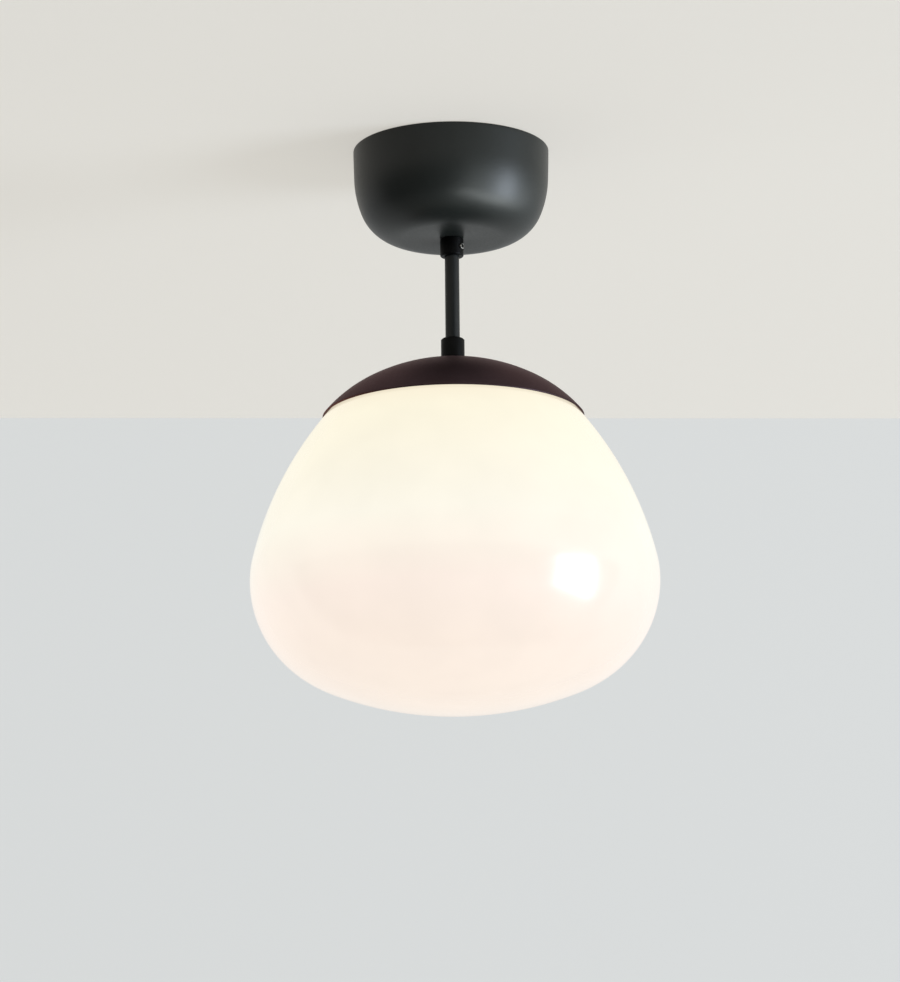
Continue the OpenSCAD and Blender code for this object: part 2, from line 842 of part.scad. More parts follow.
// Soft ring glued under the dome, on which the shoulder of the glass is pressed.
// Its middle lies where the room between the dome's arc and the shoulder's arc is its thickness.
module dome_gasket() {
    centre = [shoulder_c[0], shade_z + shoulder_c[1] - dome_top_z];
    away = centre - dome_edge_c;
    reach = dome_edge_r - dome_wall - gasket_t;
    side = pow(reach, 2) - pow(shade_shoulder_r, 2) - pow(norm(away), 2);
    middle_a = atan2(away[1], away[0]) + acos(side / (2 * shade_shoulder_r * norm(away)));
    start_r = centre[0] + shade_shoulder_r * cos(middle_a) - gasket_w / 2;
    color(silicone)
        turned(dome_top_z)
            difference() {
                intersection() {
                    translate(dome_edge_c)
                        circle(dome_edge_r - dome_wall - thread_gap);
                    band(start_r, start_r + gasket_w, 0, -centre[1]);
                }
                translate(centre)
                    circle(shade_shoulder_r + moving_gap);
            }
}

module gallery_spacer() {
    top = dome_nut_z - nut_h;
    color(zinc)
        rotate_extrude()
            band(stem_r + hole_gap, spacer_d / 2, top, top - gallery_z);
}

// Places a shape at each spring clip, with X pointing out
module at_clips() {
    for (i = [0:2])
        rotate(clip_turn + i * 120)
            children();
}

// Places a shape at each rivet of a clip, with Z pointing out
module at_rivets() {
    for (side = [-1, 1])
        translate([0, side * rivet_pitch / 2, rivet_z])
            rotate([0, 90, 0])
                children();
}

// Spun tray, open below, with vent holes in its floor
module gallery() {
    corner = gallery_r - gallery_corner_r;
    vent_at = (gallery_r + nut_corner_r) / 2;
    color(zinc)
        difference() {
            turned(gallery_z) {
                band(stem_r + hole_gap, corner, 0, gallery_wall);
                wall_arc([corner, -gallery_corner_r], gallery_corner_r, gallery_wall, 0, 90);
                band(gallery_r - gallery_wall, gallery_r, -gallery_corner_r, gallery_h - gallery_corner_r);
            }
            for (i = [0:vent_count - 1])
                rotate(i * 360 / vent_count)
                    translate([vent_at, 0, gallery_z - gallery_wall / 2])
                        cylinder(d = vent_d, h = gallery_wall + 2 * past, center = true);
            at_clips()
                at_rivets()
                    cylinder(d = rivet_d + 2 * thread_gap, h = far);
        }
}

module gallery_nut() {
    color(zinc)
        stem_nut(gallery_nut_z);
}

// Profile of a spring clip: flat on the gallery, bent round below, up to the nose and curled over
module clip_profile() {
    outside = concat(
        arc(clip_foot, clip_bend_r, 180, 270 + clip_leg_angle, 10),
        arc(clip_nose, clip_bend_r, clip_leg_angle - 90, clip_leg_angle - 90 + clip_curl, 10)
    );
    inside = concat(
        arc(clip_nose, clip_bend_r - clip_t, clip_leg_angle - 90 + clip_curl, clip_leg_angle - 90, 10),
        arc(clip_foot, clip_bend_r - clip_t, 270 + clip_leg_angle, 180, 10)
    );
    polygon(concat(
        [[gallery_r, clip_top_z]],
        outside,
        inside,
        [[gallery_r + clip_t, clip_top_z]]
    ));
}

// A leaf spring as wide as its strip, curved as the gallery and the shoulder are
module spring_clip(index) {
    color("silver")
        rotate(clip_turn + index * 120)
            difference() {
                intersection() {
                    rotate_extrude()
                        clip_profile();
                    translate([0, -clip_w / 2, -far])
                        cube([far, clip_w, far]);
                }
                at_rivets()
                    cylinder(d = rivet_d + 2 * thread_gap, h = far);
            }
}

module spring_clip_a() {
    spring_clip(0);
}

module spring_clip_b() {
    spring_clip(1);
}

module spring_clip_c() {
    spring_clip(2);
}

// Rivets with a low round head on the clip and a flat head inside the gallery
module clip_rivets() {
    inside = gallery_r - sag(gallery_r, rivet_pitch / 2 + rivet_head_r) - gallery_wall;
    outside = gallery_r + clip_t;
    ball_r = (pow(rivet_head_r, 2) + pow(rivet_head_h, 2)) / (2 * rivet_head_h);
    color(zinc)
        at_clips()
            at_rivets() {
                translate([0, 0, inside - rivet_head_h])
                    cylinder(r = rivet_head_r, h = rivet_head_h);
                translate([0, 0, inside - rivet_head_h])
                    cylinder(d = rivet_d, h = outside - inside + 2 * rivet_head_h - 0.3);
                intersection() {
                    translate([0, 0, outside + rivet_head_h - ball_r])
                        sphere(ball_r);
                    translate([0, 0, outside])
                        cylinder(r = rivet_head_r, h = 2 * rivet_head_h);
                }
            }
}

// Soft sleeves round the noses of the clips
module clip_sleeves() {
    sleeve_w = clip_w + 2;
    color(silicone)
        at_clips()
            intersection() {
                rotate_extrude()
                    wall_arc(
                        clip_nose,
                        clip_bend_r + sleeve_t,
                        sleeve_t - thread_gap,
                        clip_leg_angle - 80,
                        clip_leg_angle - 90 + clip_curl
                    );
                translate([0, -sleeve_w / 2, -far])
                    cube([far, sleeve_w, far]);
            }
}

// Blown glass, one wall all over: base, lower curve, upper curve, flank and shoulder
module glass_shade() {
    color(opal)
        turned(shade_z) {
            wall_arc(base_c, shade_base_r, shade_wall, -90, -base_a);
            wall_arc(lower_c, shade_lower_r, shade_wall, -base_a, 0);
            wall_arc(upper_c, shade_upper_r, shade_wall, 0, shade_upper_turn);
            wall_arc(flank_c, shade_flank_r, shade_wall, shade_upper_turn, shoulder_from);
            wall_arc(shoulder_c, shade_shoulder_r, shade_wall, shoulder_from, shoulder_to);
        }
}

// Cap with a threaded neck on the stem, a round shoulder and a plug that the skirt screws on to
module holder_cap() {
    corner = [holder_r - holder_shoulder_r, -holder_head_h];
    bore_r = stem_r + thread_gap;
    plug_h = insert_top_z + fixed_gap - holder_z;
    color("dimgray")
        difference() {
            turned(holder_z) {
                band(bore_r, holder_neck_d / 2, 0, holder_neck_h + 4);
                band(bore_r, corner[0], -holder_neck_h, holder_wall);
                wall_arc(corner, holder_shoulder_r, holder_wall, 0, 90);
                band(holder_plug_r - holder_wall, holder_r, -holder_head_h, plug_flange_h);
                band(holder_plug_r - holder_wall, holder_plug_r, -holder_head_h, -holder_head_h - plug_h);
            }
            translate([0, 0, holder_z - holder_neck_h / 2])
                rotate([90, 0, 0])
                    cylinder(d = lock_screw_d + 2 * thread_gap, h = far);
        }
}

// Small grub screw that locks the cap on the stem
module holder_lock_screw() {
    tip_y = stem_r + 2 * thread_gap;
    color(zinc)
        translate([0, -tip_y, holder_z - holder_neck_h / 2])
            rotate([90, 0, 0])
                cylinder(d = lock_screw_d, h = holder_neck_d / 2 - tip_y + 0.5);
}

// Skirt: wide above for the cap's plug, with a ledge under the insert
module holder_skirt() {
    bore_r = holder_r - holder_wall;
    skirt_bottom_z = holder_z - holder_h;
    color("dimgray")
        rotate_extrude() {
            band(bore_r, holder_r, skirt_top_z, skirt_top_z - skirt_bottom_z - 1);
            band(ledge_r, bore_r + wall_overlap, insert_bottom_z - fixed_gap, holder_wall);
            band(bore_r, holder_r - 0.6, skirt_bottom_z + 1, 1);
        }
}

// Places a shape at each of the holder's two terminals
module at_terminals() {
    for (side = [0, 180])
        rotate(wire_turn + side)
            translate([terminal_off_axis, 0, insert_top_z])
                children();
}

// Porcelain insert: a disc with a raised rib between the terminals
module holder_insert() {
    color("whitesmoke")
        difference() {
            union() {
                drop(2 * insert_r, insert_top_z, insert_t);
                rotate(wire_turn)
                    translate([-1.5, -insert_r / 2, insert_top_z - past])
                        cube([3, insert_r, 4 + past]);
            }
            rotate(wire_turn)
                translate([terminal_off_axis, 0, 0])
                    drop(3, insert_top_z - 3, far);
        }
}

// Screw shell with an inward flange under the insert
module holder_shell() {
    r = holder_shell_d / 2;
    color(brass)
        rotate_extrude() {
            band(r - holder_shell_t, r, insert_bottom_z, holder_shell_h);
            band(r - 4, r, insert_bottom_z, holder_shell_t);
        }
}

module holder_terminals() {
    color(brass)
        at_terminals()
            difference() {
                translate([-terminal_size[0] / 2, -terminal_size[1] / 2, 0])
                    cube(terminal_size);
                translate([0, 0, 2])
                    cylinder(d = wire_d + 4 * fixed_gap, h = far);
                translate([0, 0, terminal_size[2] - 2.2])
                    rotate([0, 90, 0])
                        cylinder(d = terminal_screw_d + 2 * thread_gap, h = far);
            }
}

module holder_terminal_screws() {
    tip_x = wire_d / 2 + fixed_gap;
    color(zinc)
        at_terminals()
            translate([tip_x, 0, terminal_size[2] - 2.2])
                rotate([0, 90, 0])
                    cylinder(d = terminal_screw_d, h = terminal_size[0] / 2 - tip_x + 1.5);
}

// Bent strip under the insert that reaches down to the bulb's tip
module holder_centre_contact() {
    strip = [5, 0.5];
    reach = 7;
    drop_h = contact_depth - strip[1];
    color(brass)
        rotate([90, 0, 0])
            linear_extrude(strip[0], center = true)
                polygon([
                    [-reach, insert_bottom_z],
                    [-reach / 2, insert_bottom_z],
                    [2, insert_bottom_z - drop_h],
                    [4, insert_bottom_z - drop_h + 1],
                    [4, insert_bottom_z - drop_h + 1 - strip[1]],
                    [2, insert_bottom_z - drop_h - strip[1]],
                    [-1, insert_bottom_z - drop_h - strip[1]],
                    [-reach / 2 - 0.2, insert_bottom_z - strip[1]],
                    [-reach, insert_bottom_z - strip[1]]
                ]);
}

module bulb_globe() {
    color(opal)
        difference() {
            translate([0, 0, globe_z])
                sphere(bulb_r);
            translate([0, 0, globe_z])
                sphere(bulb_r - bulb_wall);
            drop(far, globe_edge_z + far, far);
        }
}

// Moulded housing: narrow at the screw shell, wide at the globe, hollowed by one long curve
module bulb_housing() {
    neck_r = bulb_shell_d / 2 + 0.6;
    height = bulb_shell_bottom_z - globe_edge_z;
    chord = [globe_edge_r - neck_r, -height];
    curve_r = 90;
    middle = [neck_r, bulb_shell_bottom_z] + chord / 2;
    away = sqrt(pow(curve_r, 2) - pow(norm(chord) / 2, 2));
    curve_c = middle + away * [height, chord[0]] / norm(chord);
    color("white")
        rotate_extrude()
            difference() {
                band(0, globe_edge_r, bulb_shell_bottom_z, height);
                translate(curve_c)
                    circle(curve_r);
            }
}

module bulb_screw_shell() {
    foot_r = bulb_shell_d / 2 - 2;
    color("silver")
        rotate_extrude()
            polygon([
                [0, bulb_shell_top_z],
                [foot_r, bulb_shell_top_z],
                [bulb_shell_d / 2, bulb_shell_top_z - 2],
                [bulb_shell_d / 2, bulb_shell_bottom_z],
                [0, bulb_shell_bottom_z]
            ]);
}

module bulb_insulator() {
    foot_r = bulb_shell_d / 2 - 2.4;
    color("black")
        rotate_extrude()
            polygon([
                [0, bulb_shell_top_z + bulb_insulator_h],
                [tip_r + 0.4, bulb_shell_top_z + bulb_insulator_h],
                [foot_r, bulb_shell_top_z],
                [0, bulb_shell_top_z]
            ]);
}

module bulb_tip() {
    color(brass)
        drop(2 * tip_r, tip_z, tip_h);
}

strap_bracket();
strap_nut_upper();
strap_nut_lower();
star_washer();
terminal_block();
terminal_barrels();
terminal_screws();
block_screw();
earth_screw();
earth_tag();
wire_live();
wire_neutral();
wire_earth();
stem_tube();
ceiling_cup();
stop_collar();
collar_set_screw();
lower_coupler();
dome_cap();
dome_nut();
dome_gasket();
gallery_spacer();
gallery();
gallery_nut();
spring_clip_a();
spring_clip_b();
spring_clip_c();
clip_rivets();
clip_sleeves();
glass_shade();
holder_cap();
holder_lock_screw();
holder_skirt();
holder_insert();
holder_shell();
holder_terminals();
holder_terminal_screws();
holder_centre_contact();
bulb_globe();
bulb_housing();
bulb_screw_shell();
bulb_insulator();
bulb_tip();
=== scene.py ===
"""A lit ceiling light with an opal glass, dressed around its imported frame.

Metres, +Z up. The origin is on the lamp's axis, in the plane of the ceiling. Names that end in _MM or _mm
hold millimetres, and angles are degrees. The sections follow the light from the ceiling down, as it is put
together.
"""
import math

import bmesh
import bpy
from mathutils import Matrix, Vector


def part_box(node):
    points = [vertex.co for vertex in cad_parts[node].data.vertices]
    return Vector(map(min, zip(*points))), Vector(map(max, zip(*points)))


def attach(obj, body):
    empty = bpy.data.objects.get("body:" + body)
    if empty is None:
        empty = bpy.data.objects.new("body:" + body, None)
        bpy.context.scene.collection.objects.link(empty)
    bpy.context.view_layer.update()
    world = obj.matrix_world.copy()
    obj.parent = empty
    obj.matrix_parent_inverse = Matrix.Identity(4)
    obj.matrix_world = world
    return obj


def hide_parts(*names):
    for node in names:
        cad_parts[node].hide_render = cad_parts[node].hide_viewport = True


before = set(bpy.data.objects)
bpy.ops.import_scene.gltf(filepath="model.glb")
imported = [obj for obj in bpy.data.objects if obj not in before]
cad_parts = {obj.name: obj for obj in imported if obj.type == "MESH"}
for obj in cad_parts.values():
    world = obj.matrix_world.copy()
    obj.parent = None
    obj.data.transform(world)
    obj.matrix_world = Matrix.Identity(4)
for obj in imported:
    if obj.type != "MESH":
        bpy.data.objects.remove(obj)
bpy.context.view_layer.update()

# STRAP, NUTS AND WASHER
# A strap pressed from 2 mm steel sheet, zinc-plated, is screwed to the ceiling through two slots. Two thin
# hexagon nuts and a toothed washer clamp the stem in its middle.
MM = 0.001


def linear(hex_colour):
    """An sRGB hex colour as linear red, green, blue and alpha."""
    parts = [int(hex_colour[i:i + 2], 16) / 255 for i in (0, 2, 4)]
    return (*(c / 12.92 if c <= 0.04045 else ((c + 0.055) / 1.055) ** 2.4 for c in parts), 1.0)


def add(tree, kind, inputs=None, **settings):
    """Adds a node to a tree, with its settings, and with its inputs set or linked."""
    node = tree.nodes.new(kind)
    for name, value in settings.items():
        setattr(node, name, value)
    for name, value in (inputs or {}).items():
        if isinstance(value, bpy.types.NodeSocket):
            tree.links.new(value, node.inputs[name])
        else:
            node.inputs[name].default_value = value
    return node


def start_finish(name, colour, **sockets):
    """A new material and its Principled shader, with the values that are the same all over it."""
    finish = bpy.data.materials.new(name)
    finish.use_nodes = True
    tree = finish.node_tree
    shader = tree.nodes["Principled BSDF"]
    shader.inputs["Base Color"].default_value = linear(colour)
    for socket, value in sockets.items():
        shader.inputs[socket.replace("_", " ")].default_value = value
    return finish, tree, shader


def mottle(tree, feature_mm, detail=3.0, stretch=(1, 1, 1)):
    """Noise whose features have a real size, in object coordinates. Returns its value, about 0.3 to 0.7."""
    place = add(tree, "ShaderNodeTexCoord")
    spread = add(tree, "ShaderNodeMapping", {"Vector": place.outputs["Object"], "Scale": stretch})
    noise = add(tree, "ShaderNodeTexNoise", {
        "Vector": spread.outputs["Vector"], "Scale": 1 / (feature_mm * MM), "Detail": detail,
    })
    return noise.outputs["Fac"]


def ramp(tree, value, low, high):
    """Turns noise of about 0.3 to 0.7 into a number between low and high."""
    node = add(tree, "ShaderNodeMapRange", {
        "Value": value, "From Min": 0.3, "From Max": 0.7, "To Min": low, "To Max": high,
    })
    return node.outputs["Result"]


def tint(tree, shader, value, light, dark):
    """Colours a surface between two hex colours as a value goes from 0 to 1."""
    mix = add(tree, "ShaderNodeMix", {"Factor": value}, data_type="RGBA")
    mix.inputs[6].default_value = linear(light)
    mix.inputs[7].default_value = linear(dark)
    tree.links.new(mix.outputs[2], shader.inputs["Base Color"])


def bump(tree, shader, value, height_mm):
    """Raises a surface by a real height where the value is 1."""
    node = add(tree, "ShaderNodeBump", {"Height": value, "Distance": height_mm * MM, "Strength": 1.0})
    tree.links.new(node.outputs["Normal"], shader.inputs["Normal"])


def zinc_plate():
    """Zinc-plated pressed steel: a cool grey metal, dulled in cloudy patches by its passivation."""
    finish, tree, shader = start_finish("zinc_plated_steel", "b4b8ba", Metallic=1.0)
    clouds = mottle(tree, 6)
    tint(tree, shader, ramp(tree, clouds, 0, 1), "c3c7c8", "9da2a3")
    grain = mottle(tree, 0.6, detail=2)
    tree.links.new(ramp(tree, grain, 0.3, 0.48), shader.inputs["Roughness"])
    bump(tree, shader, grain, 0.02)
    return finish


zinc = zinc_plate()


def coat(node, finish):
    """Gives a node of the frame its finish."""
    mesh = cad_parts[node].data
    mesh.materials.clear()
    mesh.materials.append(finish)


coat("strap_bracket", zinc)
coat("star_washer", zinc)

NUT_FLATS_MM = 14
NUT_HEIGHT_MM = 3
NUT_BEVEL_MM = 0.4
CHAMFER_STARTS_AT = 0.97
CHAMFER_ANGLE = 30
STEM_R_MM = 5
PLAY_MM = 0.05


def new_piece(name, mesh, body, stands_for=()):
    """Links a finished mesh as a piece that rides on a body and stands for nodes of the frame."""
    piece = bpy.data.objects.new(name, mesh)
    bpy.context.scene.collection.objects.link(piece)
    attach(piece, body)
    if stands_for:
        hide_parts(*stands_for)


CREASE = 32
SAME_PLACE = 1e-6
NO_LENGTH = 1e-8


def mesh_of_rings(name, rings, finish, closed=True, caps=False):
    """Skins rings of points, each ring joined to the next; closed joins the last ring to the first."""
    count = len(rings[0])
    vertices = [point for ring in rings for point in ring]
    faces = []
    for i in range(len(rings) if closed else len(rings) - 1):
        here, there = i * count, (i + 1) % len(rings) * count
        for k in range(count):
            after = (k + 1) % count
            faces.append((here + k, here + after, there + after, there + k))
    if caps:
        faces.append(tuple(range(count)))
        faces.append(tuple((len(rings) - 1) * count + k for k in range(count)))
    mesh = bpy.data.meshes.new(name)
    mesh.from_pydata(vertices, [], faces)
    clean(mesh)
    mesh.materials.append(finish)
    return mesh


def clean(mesh):
    """Merges doubled points, drops loose edges, turns the faces outwards and smooths all but the creases."""
    work = bmesh.new()
    work.from_mesh(mesh)
    bmesh.ops.remove_doubles(work, verts=work.verts, dist=SAME_PLACE)
    bmesh.ops.dissolve_degenerate(work, edges=work.edges, dist=NO_LENGTH)
    loose = [e for e in work.edges if not e.link_faces]
    bmesh.ops.delete(work, geom=loose, context="EDGES")
    bmesh.ops.recalc_face_normals(work, faces=work.faces)
    work.to_mesh(mesh)
    work.free()
    mesh.shade_smooth()
    mesh.set_sharp_from_angle(angle=math.radians(CREASE))


def from_flat(angle):
    """How far an angle is from the middle of a hexagon's nearest flat, all in radians."""
    return (angle + math.pi / 6) % (math.pi / 3) - math.pi / 6


def hexagon_nut(name, top, finish, sides=96):
    """A hexagon nut with chamfered corners and a bore, from its top face down."""
    bore = (STEM_R_MM + PLAY_MM) * MM
    flat = NUT_FLATS_MM / 2 * MM
    low, high = top - NUT_HEIGHT_MM * MM, top
    bevel = NUT_BEVEL_MM * MM
    chamfer_from = flat * CHAMFER_STARTS_AT
    slope = math.tan(math.radians(CHAMFER_ANGLE))
    columns = []
    for k in range(sides):
        angle = 2 * math.pi * k / sides
        edge = flat / math.cos(from_flat(angle))
        fall = (edge - chamfer_from) * slope
        profile = [
            (bore, high - bevel), (bore + bevel, high), (chamfer_from, high), (edge, high - fall),
            (edge, low + fall), (chamfer_from, low), (bore + bevel, low), (bore, low + bevel),
        ]
        columns.append([(r * math.cos(angle), r * math.sin(angle), z) for r, z in profile])
    return mesh_of_rings(name, columns, finish)


for nut in ("strap_nut_upper", "strap_nut_lower", "dome_nut", "gallery_nut"):
    nut_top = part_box(nut)[1].z
    new_piece(nut + "_hex", hexagon_nut(nut + "_hex", nut_top, zinc), "fixture", [nut])

# TERMINAL BLOCK AND EARTHING POINT
# A three-pole block moulded in white polyamide holds brass barrels, with slotted clamping screws in its
# towers. The earth screw fixes a stamped brass ring tag on the other side of the stem.


def brass_plain():
    """Plain turned brass: warm yellow, with brown patches where fingers have dulled it."""
    finish, tree, shader = start_finish("plain_brass", "c9a258", Metallic=1.0)
    tint(tree, shader, ramp(tree, mottle(tree, 4), 0, 1), "d3ad63", "ab8442")
    tree.links.new(ramp(tree, mottle(tree, 1.2), 0.22, 0.4), shader.inputs["Roughness"])
    return finish


def moulded_plastic(name, light, dark, roughness, spark_mm, height_mm):
    """Moulded plastic: an even colour over a fine spark-eroded grain."""
    finish, tree, shader = start_finish(name, light, IOR=1.5)
    grain = mottle(tree, spark_mm, detail=2)
    tint(tree, shader, ramp(tree, mottle(tree, 9), 0, 1), light, dark)
    tree.links.new(ramp(tree, grain, roughness - 0.05, roughness + 0.07), shader.inputs["Roughness"])
    bump(tree, shader, grain, height_mm)
    return finish


brass = brass_plain()
polyamide = moulded_plastic("white_polyamide", "ecebe5", "e0dfd8", 0.42, 0.5, 0.015)
coat("terminal_block", polyamide)
coat("terminal_barrels", brass)
coat("terminal_screws", zinc)
coat("block_screw", zinc)
coat("earth_screw", brass)
coat("earth_tag", brass)

# WIRES
# Three stranded wires in PVC insulation: brown and blue go over the strap's edge and down inside the stem to
# the lampholder, green and yellow goes to the earth tag.
WIRE_D_MM = 2.2
WIRE_BEND_MM = 4


def wire_jacket(name, colour, second=None):
    """Extruded PVC insulation: even and faintly shiny; the earth wire has a second colour along one side."""
    finish, tree, shader = start_finish(name, colour, IOR=1.52, Roughness=0.36)
    if second:
        side = add(tree, "ShaderNodeAttribute", attribute_name="around")
        stripe = add(tree, "ShaderNodeMath", {0: side.outputs["Fac"], 1: 0.5}, operation="GREATER_THAN")
        tint(tree, shader, stripe.outputs["Value"], colour, second)
    bump(tree, shader, mottle(tree, 1.5), 0.02)
    return finish


def start_tree(name, **inputs):
    """A new geometry tree with named inputs and one output. Returns it with what its inputs give."""
    tree = bpy.data.node_groups.new(name, "GeometryNodeTree")
    for socket, kind in inputs.items():
        label = socket.replace("_", " ")
        tree.interface.new_socket(label, in_out="INPUT", socket_type="NodeSocket" + kind)
    tree.interface.new_socket("Piece", in_out="OUTPUT", socket_type="NodeSocketGeometry")
    return tree, add(tree, "NodeGroupInput").outputs


def end_tree(tree, made, finish):
    """Ends a tree: what it placed is made real, and the finish is set."""
    real = add(tree, "GeometryNodeRealizeInstances", {"Geometry": made})
    dressed = add(tree, "GeometryNodeSetMaterial", {
        "Geometry": real.outputs["Geometry"], "Material": finish,
    })
    add(tree, "NodeGroupOutput", {"Piece": dressed.outputs["Geometry"]})
    return tree


def made_by(tree, mesh, **values):
    """Runs a node tree on a mesh with its named inputs set, and returns the result as a plain mesh."""
    blank = bpy.data.objects.new("blank", mesh)
    bpy.context.scene.collection.objects.link(blank)
    modifier = blank.modifiers.new("made", "NODES")
    modifier.node_group = tree
    for item in tree.interface.items_tree:
        if item.in_out == "INPUT" and item.name.replace(" ", "_") in values:
            modifier[item.identifier] = values[item.name.replace(" ", "_")]
    blank.update_tag()
    graph = bpy.context.evaluated_depsgraph_get()
    graph.update()
    made = bpy.data.meshes.new_from_object(blank.evaluated_get(graph))
    blank.modifiers.remove(modifier)
    bpy.data.objects.remove(blank)
    clean(made)
    return made


def path_mesh(name, points, closed=False):
    """Points joined by edges, for a node tree to follow."""
    count = len(points)
    edges = [(i, (i + 1) % count) for i in range(count if closed else count - 1)]
    mesh = bpy.data.meshes.new(name)
    mesh.from_pydata(points, edges, [])
    return mesh


BEND_STEPS = 10
WIRE_SIDES = 20


def wire_tree():
    """Rounds a route's corners and lays a round wire along it, marked by its share of the way round."""
    tree, given = start_tree("wire_along_its_route", Route="Geometry", Radius="Float", Bend_radius="Float",
                             Jacket="Material")
    route = add(tree, "GeometryNodeMeshToCurve", {"Mesh": given["Route"]})
    bent = add(tree, "GeometryNodeFilletCurve", {
        "Curve": route.outputs["Curve"], "Count": BEND_STEPS, "Radius": given["Bend radius"],
        "Limit Radius": True,
    }, mode="POLY")
    circle = add(tree, "GeometryNodeCurvePrimitiveCircle", {
        "Resolution": WIRE_SIDES, "Radius": given["Radius"],
    })
    share = add(tree, "GeometryNodeSplineParameter")
    marked = add(tree, "GeometryNodeStoreNamedAttribute", {
        "Geometry": circle.outputs["Curve"], "Name": "around", "Value": share.outputs["Factor"],
    })
    jacket = add(tree, "GeometryNodeCurveToMesh", {
        "Curve": bent.outputs["Curve"], "Profile Curve": marked.outputs["Geometry"], "Fill Caps": True,
    })
    return end_tree(tree, jacket.outputs["Mesh"], given["Jacket"])


wiring = wire_tree()
BLOCK_POLE_X_MM = (14, 23, 32)
BARREL_END_Y_MM = 3
BARREL_Z_MM = -24.5
OVER_STRAP_Y_MM = 17
OVER_STRAP_Z_MM = -7
INSIDE_STEM_MM = 1.6
BELOW_STEM_MM = 3
AT_TERMINAL_MM = 9
ABOVE_TERMINAL_MM = 10
INTO_TERMINAL_MM = 3
LAMP_WIRE_TURN = 123
stem_low_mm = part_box("stem_tube")[0].z / MM
terminal_low_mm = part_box("holder_terminals")[0].z / MM


def lamp_wire_route(pole, turn):
    """From a pole of the block, round the strap's edge, over it and down the stem to the lampholder."""
    x = BLOCK_POLE_X_MM[pole]
    c, s = math.cos(math.radians(turn)), math.sin(math.radians(turn))
    return [
        (x, BARREL_END_Y_MM, BARREL_Z_MM),
        (x, OVER_STRAP_Y_MM, BARREL_Z_MM),
        (x, OVER_STRAP_Y_MM, OVER_STRAP_Z_MM),
        (INSIDE_STEM_MM * c, INSIDE_STEM_MM * s, OVER_STRAP_Z_MM),
        (INSIDE_STEM_MM * c, INSIDE_STEM_MM * s, stem_low_mm - BELOW_STEM_MM),
        (AT_TERMINAL_MM * c, AT_TERMINAL_MM * s, terminal_low_mm + ABOVE_TERMINAL_MM),
        (AT_TERMINAL_MM * c, AT_TERMINAL_MM * s, terminal_low_mm + INTO_TERMINAL_MM),
    ]


EARTH_BEHIND_Y_MM = 19.5
EARTH_TAG_MM = (-15, 9.5, -22.2)
earth_route = [
    (BLOCK_POLE_X_MM[0], BARREL_END_Y_MM, BARREL_Z_MM),
    (BLOCK_POLE_X_MM[0], EARTH_BEHIND_Y_MM, BARREL_Z_MM),
    (EARTH_TAG_MM[0], EARTH_BEHIND_Y_MM, EARTH_TAG_MM[2]),
    EARTH_TAG_MM,
]
brown = wire_jacket("brown_pvc", "6b3a20")
blue = wire_jacket("blue_pvc", "2f62b5")
green_yellow = wire_jacket("green_yellow_pvc", "5f9a2e", "d8cf3a")
wires = (
    ("wire_live", lamp_wire_route(2, LAMP_WIRE_TURN + 180), brown, "wire_brown"),
    ("wire_neutral", lamp_wire_route(1, LAMP_WIRE_TURN), blue, "wire_blue"),
    ("wire_earth", earth_route, green_yellow, "wire_green_yellow"),
)
for node, route, jacket, slot in wires:
    points = [Vector(point) * MM for point in route]
    wire = made_by(wiring, path_mesh(node + "_round", points), Radius=WIRE_D_MM / 2 * MM,
                   Bend_radius=WIRE_BEND_MM * MM, Jacket=jacket)
    new_piece(node + "_round", wire, "fixture", [node])

# STEM
# A steel tube, 10 mm across, with a rolled M10 x 1 thread at both ends for the nuts and the lampholder, and
# the same satin charcoal powder coat as the cup between them.


def powder_coat(name, light, dark, roughness, shine):
    """Satin powder coat, sprayed and baked: a dark even colour over a fine pebbled skin, drawn at 0.7 mm."""
    finish, tree, shader = start_finish(name, light, IOR=1.5, Specular_IOR_Level=shine)
    skin = mottle(tree, 0.7, detail=2.5)
    tint(tree, shader, ramp(tree, mottle(tree, 30), 0, 1), light, dark)
    tree.links.new(ramp(tree, skin, roughness - 0.04, roughness + 0.06), shader.inputs["Roughness"])
    bump(tree, shader, skin, 0.012)
    return finish


charcoal = powder_coat("charcoal_powder_coat", "111413", "0d100f", 0.4, 0.32)
STEM_BORE_R_MM = 4
THREAD_PITCH_MM = 1
THREAD_DEPTH_MM = 0.5
TOP_THREAD_MM = 14
LOW_THREAD_MM = 28


def threaded_stem(name, finish, sides=48):
    """The tube, with its helical thread on both ends and the plain coated barrel between them."""
    low, high = (corner.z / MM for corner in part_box("stem_tube"))
    per_turn = 6

    def cut(z, turn):
        """How deep the thread is cut at a height and a share of a turn."""
        phase = (z / THREAD_PITCH_MM - turn) % 1
        return THREAD_DEPTH_MM * abs(2 * phase - 1)

    step = THREAD_PITCH_MM / per_turn
    low_thread = [(STEM_R_MM, low + i * step, True) for i in range(LOW_THREAD_MM * per_turn + 1)]
    top_thread = [(STEM_R_MM, high - i * step, True) for i in range(TOP_THREAD_MM * per_turn, -1, -1)]
    barrel = [(STEM_R_MM, low_thread[-1][1] + step, False), (STEM_R_MM, top_thread[0][1] - step, False)]
    low_end, high_end = (STEM_BORE_R_MM, low, False), (STEM_BORE_R_MM, high, False)
    rings = [low_end, *low_thread, *barrel, *top_thread, high_end]
    points = []
    for r, z, threaded in rings:
        ring = []
        for k in range(sides):
            turn = k / sides
            radius = (r - (cut(z, turn) if threaded else 0)) * MM
            a = 2 * math.pi * turn
            ring.append((radius * math.cos(a), radius * math.sin(a), z * MM))
        points.append(ring)
    return mesh_of_rings(name, points, finish)


stem = threaded_stem("stem_threaded", charcoal)
new_piece("stem_threaded", stem, "fixture", ["stem_tube"])

